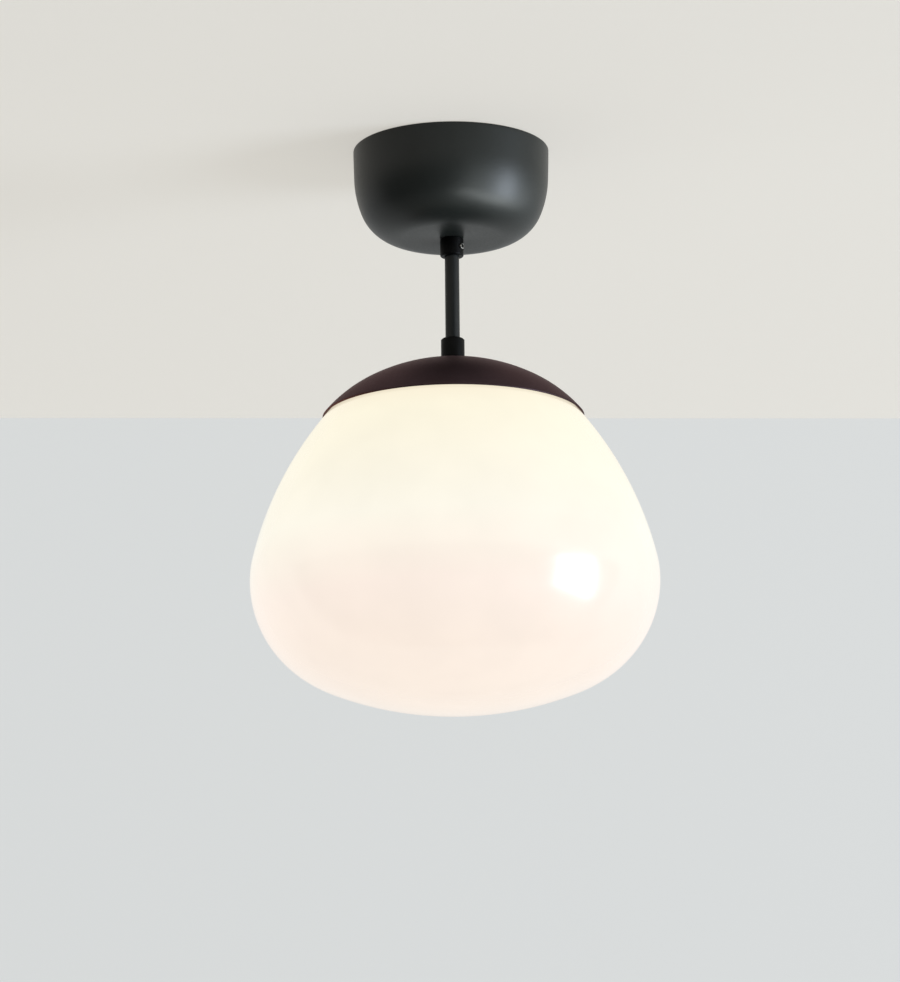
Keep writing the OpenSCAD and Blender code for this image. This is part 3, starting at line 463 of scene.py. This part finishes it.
# CEILING CUP
# Deep-drawn from 1.2 mm steel: a nearly straight side, a wide shoulder, a round corner and a flat bottom with
# a hole for the stem. It hides the strap, and rests on the collar below.
GUIDE_R = 0.1
EDGE_STEPS = 8
CORNER_STEPS = 20


def turning_tree():
    """Turns an outline round the lamp's axis. The outline lies in the XY plane, less the guide's radius."""
    tree, given = start_tree("turned_on_the_axis", Outline="Geometry", Segments="Int", Guide_radius="Float",
                             Finish="Material")
    circle = add(tree, "GeometryNodeCurvePrimitiveCircle", {
        "Resolution": given["Segments"], "Radius": given["Guide radius"],
    })
    guide = add(tree, "GeometryNodeSetCurveNormal", {"Curve": circle.outputs["Curve"]}, mode="Z_UP")
    outline = add(tree, "GeometryNodeMeshToCurve", {"Mesh": given["Outline"]})
    skin = add(tree, "GeometryNodeCurveToMesh", {
        "Curve": guide.outputs["Curve"], "Profile Curve": outline.outputs["Curve"],
    })
    return end_tree(tree, skin.outputs["Mesh"], given["Finish"])


turning = turning_tree()


def turned(name, outline_mm, finish, segments=256, closed=True):
    """Turns an outline of (radius, height) points; an open outline starts and ends on the axis."""
    points = [(r * MM - GUIDE_R, -z * MM, 0) for r, z in outline_mm]
    return made_by(turning, path_mesh(name, points, closed), Segments=segments, Guide_radius=GUIDE_R,
                   Finish=finish)


def polar(radius, angle):
    """A point at a radius and an angle in degrees."""
    return Vector((radius * math.cos(math.radians(angle)), radius * math.sin(math.radians(angle))))


def arc(centre, radius, start, end, steps):
    """Points along an arc, from one angle to another in degrees."""
    return [Vector(centre) + polar(radius, start + (end - start) * i / steps) for i in range(steps + 1)]


def angle_of(sine_or_cosine, inverse):
    """An angle in degrees from its sine or cosine."""
    return math.degrees(inverse(sine_or_cosine))


CUP_D_MM = 136
CUP_WALL_MM = 1.2
CUP_RIM_LEAN = 0.8
CUP_SIDE_H_MM = 21
CUP_SIDE_R_MM = 1000
CUP_SHOULDER_R_MM = 69.5
CUP_CORNER_R_MM = 30
CUP_HOLE_R_MM = STEM_R_MM + 0.3


def cup_outline():
    """The cup's wall: outside from the rim down to the hole, and back along the inside."""
    low, high = (corner.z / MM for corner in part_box("ceiling_cup"))
    height = high - low
    side_to = angle_of(math.sin(math.radians(CUP_RIM_LEAN)) + CUP_SIDE_H_MM / CUP_SIDE_R_MM, math.asin)
    curve_h = height - CUP_SIDE_H_MM - CUP_CORNER_R_MM
    curve_h += CUP_SHOULDER_R_MM * math.sin(math.radians(side_to))
    corner_from = angle_of(curve_h / (CUP_SHOULDER_R_MM - CUP_CORNER_R_MM), math.asin)
    side_c = Vector((CUP_D_MM / 2, high)) - polar(CUP_SIDE_R_MM, -CUP_RIM_LEAN)
    shoulder_c = side_c + polar(CUP_SIDE_R_MM - CUP_SHOULDER_R_MM, -side_to)
    corner_c = shoulder_c + polar(CUP_SHOULDER_R_MM - CUP_CORNER_R_MM, -corner_from)

    def face(inset):
        """One face of the cup, from the rim to the flat bottom."""
        return (
            arc(side_c, CUP_SIDE_R_MM - inset, -CUP_RIM_LEAN, -side_to, EDGE_STEPS)
            + arc(shoulder_c, CUP_SHOULDER_R_MM - inset, -side_to, -corner_from, CORNER_STEPS // 2)[1:]
            + arc(corner_c, CUP_CORNER_R_MM - inset, -corner_from, -90, CORNER_STEPS)[1:]
        )

    outside, inside = face(0), face(CUP_WALL_MM)
    round_r = CUP_WALL_MM / 2
    rim = arc((outside[0].x - round_r, high - round_r), round_r, 180, 0, EDGE_STEPS)
    hole = arc((CUP_HOLE_R_MM + round_r, low + round_r), round_r, 270, 90, EDGE_STEPS)
    return rim + outside[1:] + hole + inside[::-1][:-1]


cup = turned("cup_drawn", cup_outline(), charcoal)
new_piece("cup_drawn", cup, "cup", ["ceiling_cup"])

# STOP COLLAR AND SET SCREW
# A turned steel collar carries the cup. A bright grub screw with a hexagon socket, a little right of the
# front, clamps it on the stem.
COLLAR_D_MM = 16.3
COLLAR_LOW_ROUND_MM = 1.2
COLLAR_HIGH_ROUND_MM = 0.35
BORE_ROUND_MM = 0.3
SET_SCREW_TURN = 54
SET_SCREW_R_MM = 2
SET_SCREW_PROUD_MM = 1.2
SET_SCREW_BEVEL_MM = 0.35
SOCKET_FLATS_MM = 2.4
SOCKET_DEPTH_MM = 2
SOCKET_POINT_MM = 0.4
STRAIGHT = 0.01
ROUNDING_STEPS = 6


def rounded(corners):
    """A closed outline from (radius, height, rounding) corners."""
    points = []
    for i, (r, z, rounding) in enumerate(corners):
        here = Vector((r, z))
        if not rounding:
            points.append(here)
            continue
        before = (Vector(corners[i - 1][:2]) - here).normalized()
        after = (Vector(corners[(i + 1) % len(corners)][:2]) - here).normalized()
        half = before.angle(after) / 2
        reach = rounding / math.tan(half)
        middle = here + (before + after).normalized() * rounding / math.sin(half)
        start, end = here + before * reach - middle, here + after * reach - middle
        between = start.lerp if start.angle(end) < STRAIGHT else start.slerp
        for k in range(ROUNDING_STEPS + 1):
            points.append(middle + between(end, k / ROUNDING_STEPS).normalized() * rounding)
    return points


collar_low, collar_high = (corner.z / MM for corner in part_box("stop_collar"))
collar_bore_r, collar_r = STEM_R_MM + PLAY_MM, COLLAR_D_MM / 2
collar_outline = rounded([
    (collar_bore_r, collar_low, BORE_ROUND_MM), (collar_r, collar_low, COLLAR_LOW_ROUND_MM),
    (collar_r, collar_high, COLLAR_HIGH_ROUND_MM), (collar_bore_r, collar_high, BORE_ROUND_MM),
])
# Darker, duller copy of the cup's coat for collar and coupler; on the collar it is painted shade under the
# cup.
black = powder_coat("black_powder_coat", "050505", "030303", 0.42, 0.1)
collar = turned("collar_turned", collar_outline, black, segments=128)
new_piece("collar_turned", collar, "collar", ["stop_collar"])


def bright_plate(name, colour, roughness):
    """Bright nickel plate over steel: a mirror-like warm grey with a trace of rolling lines."""
    finish, tree, shader = start_finish(name, colour, Metallic=1.0)
    lines = mottle(tree, 0.8, detail=2, stretch=(1, 1, 0.25))
    tree.links.new(ramp(tree, lines, roughness - 0.05, roughness + 0.08), shader.inputs["Roughness"])
    bump(tree, shader, lines, 0.004)
    return finish


nickel = bright_plate("nickel_plated_steel", "cfcdc8", 0.2)


def grub_screw(name, finish, sides=48):
    """A grub screw, from its tip on the stem to its chamfered end with a hexagon socket."""
    end = collar_r + SET_SCREW_PROUD_MM
    tip = STEM_R_MM + 2 * PLAY_MM
    full_r, bevel = SET_SCREW_R_MM, SET_SCREW_BEVEL_MM
    flat_r, socket_end = SOCKET_FLATS_MM / 2, end - SOCKET_DEPTH_MM
    rings = [
        (tip, full_r - bevel, False), (tip + bevel, full_r, False),
        (end - bevel, full_r, False), (end, full_r - bevel, False),
        (end, flat_r, True), (socket_end, flat_r, True),
        (socket_end - SOCKET_POINT_MM, PLAY_MM, False),
    ]
    points = []
    for x, r, hexagonal in rings:
        ring = []
        for k in range(sides):
            a = 2 * math.pi * k / sides
            reach = r / math.cos(from_flat(a)) if hexagonal else r
            ring.append((x * MM, reach * math.cos(a) * MM, reach * math.sin(a) * MM))
        points.append(ring)
    mesh = mesh_of_rings(name, points, finish, closed=False, caps=True)
    lift = Matrix.Translation((0, 0, (collar_low + collar_high) / 2 * MM))
    mesh.transform(lift @ Matrix.Rotation(math.radians(SET_SCREW_TURN - 90), 4, "Z"))
    return mesh


screw = grub_screw("grub_screw", nickel)
new_piece("grub_screw", screw, "set_screw", ["collar_set_screw"])

# LOWER COUPLER
# A turned steel coupler on the stem's lower thread, chamfered at the top, holds the dome down on its nut.
COUPLER_CHAMFER_MM = 0.8
COUPLER_LOW_ROUND_MM = 0.25
COUPLER_ROUND_MM = 0.2
coupler_low, coupler_high = (corner.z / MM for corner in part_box("lower_coupler"))
coupler_outline = rounded([
    (collar_bore_r, coupler_low, 0), (collar_r, coupler_low, COUPLER_LOW_ROUND_MM),
    (collar_r, coupler_high - COUPLER_CHAMFER_MM, COUPLER_ROUND_MM),
    (collar_r - COUPLER_CHAMFER_MM, coupler_high, COUPLER_ROUND_MM),
    (collar_bore_r, coupler_high, BORE_ROUND_MM),
])
coupler = turned("coupler_turned", coupler_outline, black, segments=128)
new_piece("coupler_turned", coupler, "fixture", ["lower_coupler"])

# DOME
# A shallow dome spun from 1.2 mm steel and coated a warm bronze-black, with a silicone ring glued inside near
# its rim for the glass to press on.
DOME_D_MM = 180
DOME_WALL_MM = 1.2
DOME_CROWN_R_MM = 128.6
DOME_EDGE_R_MM = 95.8
DOME_EDGE_FROM = 29.2
DOME_HOLE_R_MM = STEM_R_MM + 0.2
DOME_STEPS = 20
dome_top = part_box("dome_cap")[1].z / MM
dome_top += DOME_CROWN_R_MM - math.sqrt(DOME_CROWN_R_MM ** 2 - DOME_HOLE_R_MM ** 2)
crown_c = Vector((0, dome_top - DOME_CROWN_R_MM))
edge_c = crown_c + polar(DOME_CROWN_R_MM - DOME_EDGE_R_MM, 90 - DOME_EDGE_FROM)
rim_angle = angle_of((DOME_D_MM / 2 - edge_c.x) / DOME_EDGE_R_MM, math.acos)


def dome_face(inset):
    """One face of the dome, from the hole out to the rim."""
    crown_r = DOME_CROWN_R_MM - inset
    start = angle_of(DOME_HOLE_R_MM / crown_r, math.acos)
    return (
        arc(crown_c, crown_r, start, 90 - DOME_EDGE_FROM, DOME_STEPS)
        + arc(edge_c, DOME_EDGE_R_MM - inset, 90 - DOME_EDGE_FROM, rim_angle, DOME_STEPS)[1:]
    )


rim_middle = edge_c + polar(DOME_EDGE_R_MM - DOME_WALL_MM / 2, rim_angle)
rim_round = arc(rim_middle, DOME_WALL_MM / 2, rim_angle, rim_angle - 180, EDGE_STEPS)[1:-1]


def bronzed_coat():
    """Bronze-black powder coat with fine metal flake: nearly black, with a brown sheen where it is lit."""
    finish, tree, shader = start_finish("bronze_black_powder_coat", "3f3336", Metallic=1.0,
                                        Specular_Tint=linear("e7d4d4"))
    skin = mottle(tree, 0.7, detail=2.5)
    tint(tree, shader, ramp(tree, mottle(tree, 30), 0, 1), "42363a", "3c3033")
    tree.links.new(ramp(tree, skin, 0.46, 0.56), shader.inputs["Roughness"])
    bump(tree, shader, skin, 0.012)
    return finish


bronze_black = bronzed_coat()
dome = turned("dome_spun", dome_face(0) + rim_round + dome_face(DOME_WALL_MM)[::-1], bronze_black)
new_piece("dome_spun", dome, "fixture", ["dome_cap"])


def silicone_rubber():
    """Moulded silicone: milky, soft-edged and slightly dusty."""
    finish, tree, shader = start_finish("silicone_rubber", "dedcd4", IOR=1.41, Subsurface_Weight=0.2,
                                        Subsurface_Scale=1 * MM)
    dust = mottle(tree, 1.5)
    tint(tree, shader, ramp(tree, dust, 0, 1), "e4e2da", "cfcdc4")
    tree.links.new(ramp(tree, dust, 0.45, 0.62), shader.inputs["Roughness"])
    return finish


silicone = silicone_rubber()
coat("dome_gasket", silicone)

# GALLERY AND SPRING CLIPS
# A tray spun from 1 mm sheet steel hangs under the dome between a spacer and a nut, with vent holes in its
# floor. Three leaf springs are riveted to its side, and silicone sleeves on their noses grip the glass.
for node in ("gallery_spacer", "gallery", "clip_rivets"):
    coat(node, zinc)
spring_steel = bright_plate("nickel_plated_spring_strip", "bdbab3", 0.26)
for node in ("spring_clip_a", "spring_clip_b", "spring_clip_c"):
    coat(node, spring_steel)
coat("clip_sleeves", silicone)

# GLASS SHADE
# Opal glass, mouth-blown in a mould and fire-polished, one wall all over. Its opal layer spreads the bulb's
# light evenly; that light is painted on as the glass's own glow, warmer and dimmer furthest from the bulb.
SHADE_D_MM = 280
SHADE_WALL_MM = 3
SHADE_UPPER_R_MM = 63.8
SHADE_UPPER_TURN = 13.3
SHADE_FLANK_R_MM = 245.5
SHADE_LOWER_R_MM = 76.3
SHADE_BASE_R_MM = 236
SHADE_SHOULDER_R_MM = 45
SHADE_NECK_D_MM = 120
SHADE_GAP_MM = 0.5
# Painted light: the glass glows by its own emission, standing for the bulb's light, in painted colours by
# height.
GLASS_GLOW = 0.95
GLOW_BELOW_MM = 90
GLOW_ABOVE_MM = 130
GLOW_MIDDLES = ((0.28, "fff0e4"), (0.5, "fcf7e8"), (0.86, "fbf4dc"))


def shade_outline():
    """The glass from the axis up its outside and down its inside, and the height where it is widest."""
    upper_c = Vector((SHADE_D_MM / 2 - SHADE_UPPER_R_MM, 0))
    flank_c = upper_c + polar(SHADE_UPPER_R_MM - SHADE_FLANK_R_MM, SHADE_UPPER_TURN)
    lower_c = Vector((SHADE_D_MM / 2 - SHADE_LOWER_R_MM, 0))
    base_angle = angle_of(lower_c.x / (SHADE_BASE_R_MM - SHADE_LOWER_R_MM), math.acos)
    base_c = Vector((0, (SHADE_BASE_R_MM - SHADE_LOWER_R_MM) * math.sin(math.radians(base_angle))))
    seat = edge_c + polar(DOME_EDGE_R_MM - DOME_WALL_MM - SHADE_GAP_MM, rim_angle)
    flank_angle = angle_of((seat.x - flank_c.x) / SHADE_FLANK_R_MM, math.acos)
    widest_z = seat.y - flank_c.y - SHADE_FLANK_R_MM * math.sin(math.radians(flank_angle))
    shoulder_from = flank_angle + 1
    shoulder_c = flank_c + polar(SHADE_FLANK_R_MM - SHADE_SHOULDER_R_MM, shoulder_from)
    inner_shoulder = SHADE_SHOULDER_R_MM - SHADE_WALL_MM
    shoulder_to = angle_of((SHADE_NECK_D_MM / 2 - shoulder_c.x) / inner_shoulder, math.acos)

    def face(inset):
        """One face of the glass, from the axis up to the neck's lip."""
        return (
            arc(base_c, SHADE_BASE_R_MM - inset, -90, -base_angle, 20)
            + arc(lower_c, SHADE_LOWER_R_MM - inset, -base_angle, 0, 40)[1:]
            + arc(upper_c, SHADE_UPPER_R_MM - inset, 0, SHADE_UPPER_TURN, 8)[1:]
            + arc(flank_c, SHADE_FLANK_R_MM - inset, SHADE_UPPER_TURN, shoulder_from, 36)[1:]
            + arc(shoulder_c, SHADE_SHOULDER_R_MM - inset, shoulder_from, shoulder_to, 12)[1:]
        )

    lip_c = shoulder_c + polar(SHADE_SHOULDER_R_MM - SHADE_WALL_MM / 2, shoulder_to)
    lip = arc(lip_c, SHADE_WALL_MM / 2, shoulder_to, shoulder_to + 180, 10)[1:-1]
    rise = Vector((0, widest_z))
    return [point + rise for point in face(0) + lip + face(SHADE_WALL_MM)[::-1]], widest_z


def opal_glass(widest_z):
    """Opal glass, lit: a glossy skin over a milky body with a painted glow, most at the height of the bulb.
    """
    finish, tree, shader = start_finish("opal_blown_glass", "545250", IOR=1.5, Roughness=0.2)
    place = add(tree, "ShaderNodeTexCoord")
    split = add(tree, "ShaderNodeSeparateXYZ", {"Vector": place.outputs["Object"]})
    height = add(tree, "ShaderNodeMapRange", {
        "Value": split.outputs["Z"],
        "From Min": (widest_z - GLOW_BELOW_MM) * MM, "From Max": (widest_z + GLOW_ABOVE_MM) * MM,
    })
    glow = add(tree, "ShaderNodeValToRGB", {"Fac": height.outputs["Result"]})
    stops = glow.color_ramp.elements
    # Painted glow colours by height: the lowest stop first, then the top one, then the middles.
    stops[0].color = linear("f8e8d9")
    stops[1].color = linear("f8eacf")
    for share, colour in GLOW_MIDDLES:
        stops.new(share).color = linear(colour)
    # The painted glow varies a little in soft clouds, and is dimmed where the glass is seen edge-on.
    clouds = ramp(tree, mottle(tree, 45, detail=2), 0.98, 1.02)
    mirrored = add(tree, "ShaderNodeFresnel", {"IOR": 1.5})
    let_out = add(tree, "ShaderNodeMapRange", {
        "Value": mirrored.outputs["Fac"], "To Min": 1.0, "To Max": 0.4,
    })
    level = add(tree, "ShaderNodeMath", {0: clouds, 1: let_out.outputs["Result"]}, operation="MULTIPLY")
    shade = add(tree, "ShaderNodeVectorMath", {
        0: glow.outputs["Color"], "Scale": level.outputs["Value"],
    }, operation="SCALE")
    tree.links.new(shade.outputs["Vector"], shader.inputs["Emission Color"])
    shader.inputs["Emission Strength"].default_value = GLASS_GLOW
    bump(tree, shader, mottle(tree, 60, detail=1), 0.15)
    return finish


shade_points, shade_widest = shade_outline()
opal = opal_glass(shade_widest)
shade = turned("shade_blown", shade_points, opal, segments=320, closed=False)
new_piece("shade_blown", shade, "shade", ["glass_shade"])

# LAMPHOLDER
# A screw lampholder moulded in black thermoset: a cap on the stem and a skirt that screws on to it, ribbed
# for grip, round a porcelain insert with brass contacts and a brass screw shell.
RIB_R_MM = 0.8
RIB_SUNK_MM = 0.3
RIB_COUNT = 36
RIB_SIDES = 10
BELOW_RIBS_MM = 12
ABOVE_RIBS_MM = 2
thermoset = moulded_plastic("black_thermoset", "17181a", "121314", 0.26, 0.8, 0.01)
for node in ("holder_cap", "holder_skirt"):
    coat(node, thermoset)


def rib_tree():
    """Stands straight round ribs in a ring on the lamp's axis."""
    tree, given = start_tree("ribs_round_the_axis", Count="Int", Ring_radius="Float", Rib_radius="Float",
                             Bottom="Float", Top="Float", Finish="Material")
    ring = add(tree, "GeometryNodeMeshCircle", {
        "Vertices": given["Count"], "Radius": given["Ring radius"],
    })
    low = add(tree, "ShaderNodeCombineXYZ", {"Z": given["Bottom"]})
    high = add(tree, "ShaderNodeCombineXYZ", {"Z": given["Top"]})
    middle = add(tree, "GeometryNodeCurvePrimitiveLine", {
        "Start": low.outputs["Vector"], "End": high.outputs["Vector"],
    })
    circle = add(tree, "GeometryNodeCurvePrimitiveCircle", {
        "Resolution": RIB_SIDES, "Radius": given["Rib radius"],
    })
    rib = add(tree, "GeometryNodeCurveToMesh", {
        "Curve": middle.outputs["Curve"], "Profile Curve": circle.outputs["Curve"], "Fill Caps": True,
    })
    ribs = add(tree, "GeometryNodeInstanceOnPoints", {
        "Points": ring.outputs["Mesh"], "Instance": rib.outputs["Mesh"],
    })
    return end_tree(tree, ribs.outputs["Instances"], given["Finish"])


skirt_low, skirt_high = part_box("holder_skirt")
ribs = made_by(
    rib_tree(), bpy.data.meshes.new("skirt_ribs"), Finish=thermoset, Count=RIB_COUNT,
    Ring_radius=skirt_high.x - RIB_SUNK_MM * MM, Rib_radius=RIB_R_MM * MM,
    Bottom=skirt_low.z + BELOW_RIBS_MM * MM, Top=skirt_high.z - ABOVE_RIBS_MM * MM,
)
new_piece("skirt_ribs", ribs, "fixture")


def glazed_porcelain():
    """Pressed and glazed porcelain: white, wet-looking, faintly uneven."""
    finish, tree, shader = start_finish("glazed_porcelain", "edece6", IOR=1.5, Roughness=0.3,
                                        Coat_Weight=0.6, Coat_Roughness=0.05)
    tint(tree, shader, ramp(tree, mottle(tree, 8), 0, 1), "f1f0ea", "e2e0d8")
    bump(tree, shader, mottle(tree, 5, detail=1), 0.05)
    return finish


coat("holder_insert", glazed_porcelain())
for node in ("holder_shell", "holder_terminals", "holder_centre_contact"):
    coat(node, brass)
for node in ("holder_lock_screw", "holder_terminal_screws"):
    coat(node, zinc)

# BULB
# A screw-base bulb: a frosted opal globe on a white moulded housing, a nickel-plated screw shell with a
# rolled thread, a black insulator and a bright tip.
BULB_GLOW = 2.0
SHELL_PITCH_MM = 3.63
SHELL_THREAD_MM = 0.9
SHELL_DRAWN_IN_MM = 2
frosted = moulded_plastic("frosted_polycarbonate", "f6f1e4", "efe9da", 0.5, 1, 0.01)
frosted_shader = frosted.node_tree.nodes["Principled BSDF"]
frosted_shader.inputs["Emission Color"].default_value = linear("ffe9c8")
frosted_shader.inputs["Emission Strength"].default_value = BULB_GLOW
coat("bulb_globe", frosted)
coat("bulb_housing", polyamide)


def rolled_shell(name, finish, sides=72):
    """The bulb's screw shell: a thin shell with a round thread rolled into it, drawn in at the insulator."""
    low, high = (corner.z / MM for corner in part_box("bulb_screw_shell"))
    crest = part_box("bulb_screw_shell")[1].x / MM
    per_turn = 12
    count = int((high - low - SHELL_DRAWN_IN_MM) / SHELL_PITCH_MM * per_turn)

    def ring_point(r, turn, z):
        """A point at a radius, a share of a turn and a height."""
        a = 2 * math.pi * turn
        return r * MM * math.cos(a), r * MM * math.sin(a), z * MM

    rings = []
    for i in range(count + 1):
        z = low + i * SHELL_PITCH_MM / per_turn
        full = min(1, i / per_turn, (count - i) / per_turn)
        ring = []
        for k in range(sides):
            turn = k / sides
            wave = 0.5 + 0.5 * math.cos(2 * math.pi * (z / SHELL_PITCH_MM - turn))
            ring.append(ring_point(crest - SHELL_THREAD_MM * full * wave, turn, z))
        rings.append(ring)
    rings.append([ring_point(crest - SHELL_DRAWN_IN_MM, k / sides, high) for k in range(sides)])
    return mesh_of_rings(name, rings, finish, closed=False, caps=True)


shell = rolled_shell("bulb_shell_rolled", nickel)
new_piece("bulb_shell_rolled", shell, "bulb", ["bulb_screw_shell"])
coat("bulb_insulator", thermoset)
coat("bulb_tip", nickel)

# STAGE
# A plain pale ceiling, wall and floor that are seen from inside the room only, a tall window on the right,
# the soft glow of the room on cup and dome, and a camera at the photograph's angle.
CEILING_Z = 0.0
WALL_Y = 0.72
WALL_TURN = 0.04
FLOOR_Z = -2.4
ROOM_HALF = 4.0


def room_paint(name, colour, glow):
    """Matt emulsion, plain and pale, lit for the most part by its own glow, and clear from behind."""
    finish, tree, shader = start_finish(name, colour, Roughness=0.95, Specular_IOR_Level=0.1)
    shader.inputs["Emission Color"].default_value = linear(glow)
    shader.inputs["Emission Strength"].default_value = 1.0
    side = add(tree, "ShaderNodeNewGeometry")
    clear = add(tree, "ShaderNodeBsdfTransparent")
    mix = add(tree, "ShaderNodeMixShader", {
        "Fac": side.outputs["Backfacing"], 1: shader.outputs["BSDF"], 2: clear.outputs["BSDF"],
    })
    tree.links.new(mix.outputs["Shader"], tree.nodes["Material Output"].inputs["Surface"])
    return finish


def room_side(name, corners, finish):
    """A flat side of the room whose front faces the lamp."""
    mesh = bpy.data.meshes.new(name)
    mesh.from_pydata(corners, [], [(0, 1, 2, 3)])
    mesh.materials.append(finish)
    side = bpy.data.objects.new(name, mesh)
    bpy.context.scene.collection.objects.link(side)


def room_corners(z):
    """The room's corners at a height: near left, far left, far right and near right."""
    left, right, near = -ROOM_HALF, ROOM_HALF, -ROOM_HALF
    return (
        (left, near, z), (left, WALL_Y + WALL_TURN * left, z),
        (right, WALL_Y + WALL_TURN * right, z), (right, near, z),
    )


high, low = room_corners(CEILING_Z), room_corners(FLOOR_Z)
room_side("stage_ceiling", high, room_paint("ceiling_emulsion", "9a9894", "bfbcb5"))
wall = (low[1], low[2], high[2], high[1])
room_side("stage_wall", wall, room_paint("wall_emulsion", "606162", "cbcdcc"))
room_side("stage_floor", low[::-1], room_paint("pale_floor", "9c9b98", "5c5c5d"))

GLASS_MIDDLE = Vector((0, 0, -0.33))


def soft_light(name, azimuth, elevation, distance, size, power, colour, roll=0, only_on=()):
    """An area light that faces the glass, from an azimuth right of the front, an elevation and a distance."""
    a, e, turn = (math.radians(angle) for angle in (azimuth, elevation, roll))
    outward = Vector((math.sin(a) * math.cos(e), -math.cos(a) * math.cos(e), math.sin(e)))
    level = Vector((math.cos(a), math.sin(a), 0))
    upright = outward.cross(level)
    x = math.cos(turn) * level + math.sin(turn) * upright
    y = math.cos(turn) * upright - math.sin(turn) * level
    light = bpy.data.lights.new(name, "AREA")
    light.shape = "RECTANGLE"
    light.size, light.size_y = size
    light.energy = power
    light.color = linear(colour)[:3]
    place = Matrix((x, y, outward)).transposed().to_4x4()
    place.translation = GLASS_MIDDLE + outward * distance
    lamp = bpy.data.objects.new(name, light)
    lamp.matrix_world = place
    bpy.context.scene.collection.objects.link(lamp)
    if only_on:
        lit = bpy.data.collections.new(name + "_falls_on")
        for piece in only_on:
            lit.objects.link(bpy.data.objects[piece])
        lamp.light_linking.receiver_collection = lit


soft_light("window", azimuth=73.8, elevation=-18.6, distance=4.5, size=(1.95, 3.25), power=300,
           colour="e4f0ff", roll=12.8)
soft_light("low_glow", azimuth=53.5, elevation=-38.7, distance=2.06, size=(2.84, 0.46), power=49,
           colour="eef6f4", only_on=["cup_drawn"])
soft_light("high_glow", azimuth=70, elevation=-15.3, distance=1.59, size=(3.64, 1.23), power=38,
           colour="eef6f4", only_on=["cup_drawn"])
soft_light("warm_side", azimuth=-105, elevation=-18.3, distance=0.6, size=(0.66, 0.59), power=4.5,
           colour="ff9c5a", only_on=["dome_spun"])


def room_air():
    """The world past the room: a faint light on the lamp, and a plain pale backdrop behind it."""
    world = bpy.data.worlds.new("room")
    world.use_nodes = True
    tree = world.node_tree
    faint = tree.nodes["Background"]
    faint.inputs["Color"].default_value = linear("e8eaec")
    faint.inputs["Strength"].default_value = 0.08
    pale = add(tree, "ShaderNodeBackground", {"Color": linear("d8dad9"), "Strength": 1.0})
    path = add(tree, "ShaderNodeLightPath")
    seen = add(tree, "ShaderNodeMixShader", {
        "Fac": path.outputs["Is Camera Ray"], 1: faint.outputs["Background"], 2: pale.outputs["Background"],
    })
    tree.links.new(seen.outputs["Shader"], tree.nodes["World Output"].inputs["Surface"])
    return world


bpy.context.scene.world = room_air()

CAMERA_PLACE = (0, -3.366, -1.0932)
CAMERA_PITCH = 14.1555
CAMERA_ROLL = -0.5503
CAMERA_YAW = -0.0490
LENS_MM = 185.73


def aim_camera():
    """The camera, at the photograph's place and angle."""
    pitch, roll, yaw = (math.radians(a) for a in (CAMERA_PITCH, CAMERA_ROLL, CAMERA_YAW))
    flat = math.cos(pitch)
    ahead = Vector((math.sin(yaw) * flat, math.cos(yaw) * flat, math.sin(pitch)))
    level = ahead.cross(Vector((0, 0, 1))).normalized()
    upright = level.cross(ahead)
    right = math.cos(roll) * level + math.sin(roll) * upright
    up = math.cos(roll) * upright - math.sin(roll) * level
    camera = bpy.data.objects.new("camera", bpy.data.cameras.new("camera"))
    place = Matrix((right, up, -ahead)).transposed().to_4x4()
    place.translation = CAMERA_PLACE
    camera.matrix_world = place
    camera.data.lens = LENS_MM
    bpy.context.scene.collection.objects.link(camera)
    bpy.context.scene.camera = camera


aim_camera()
bpy.context.scene.view_settings.view_transform = "Standard"
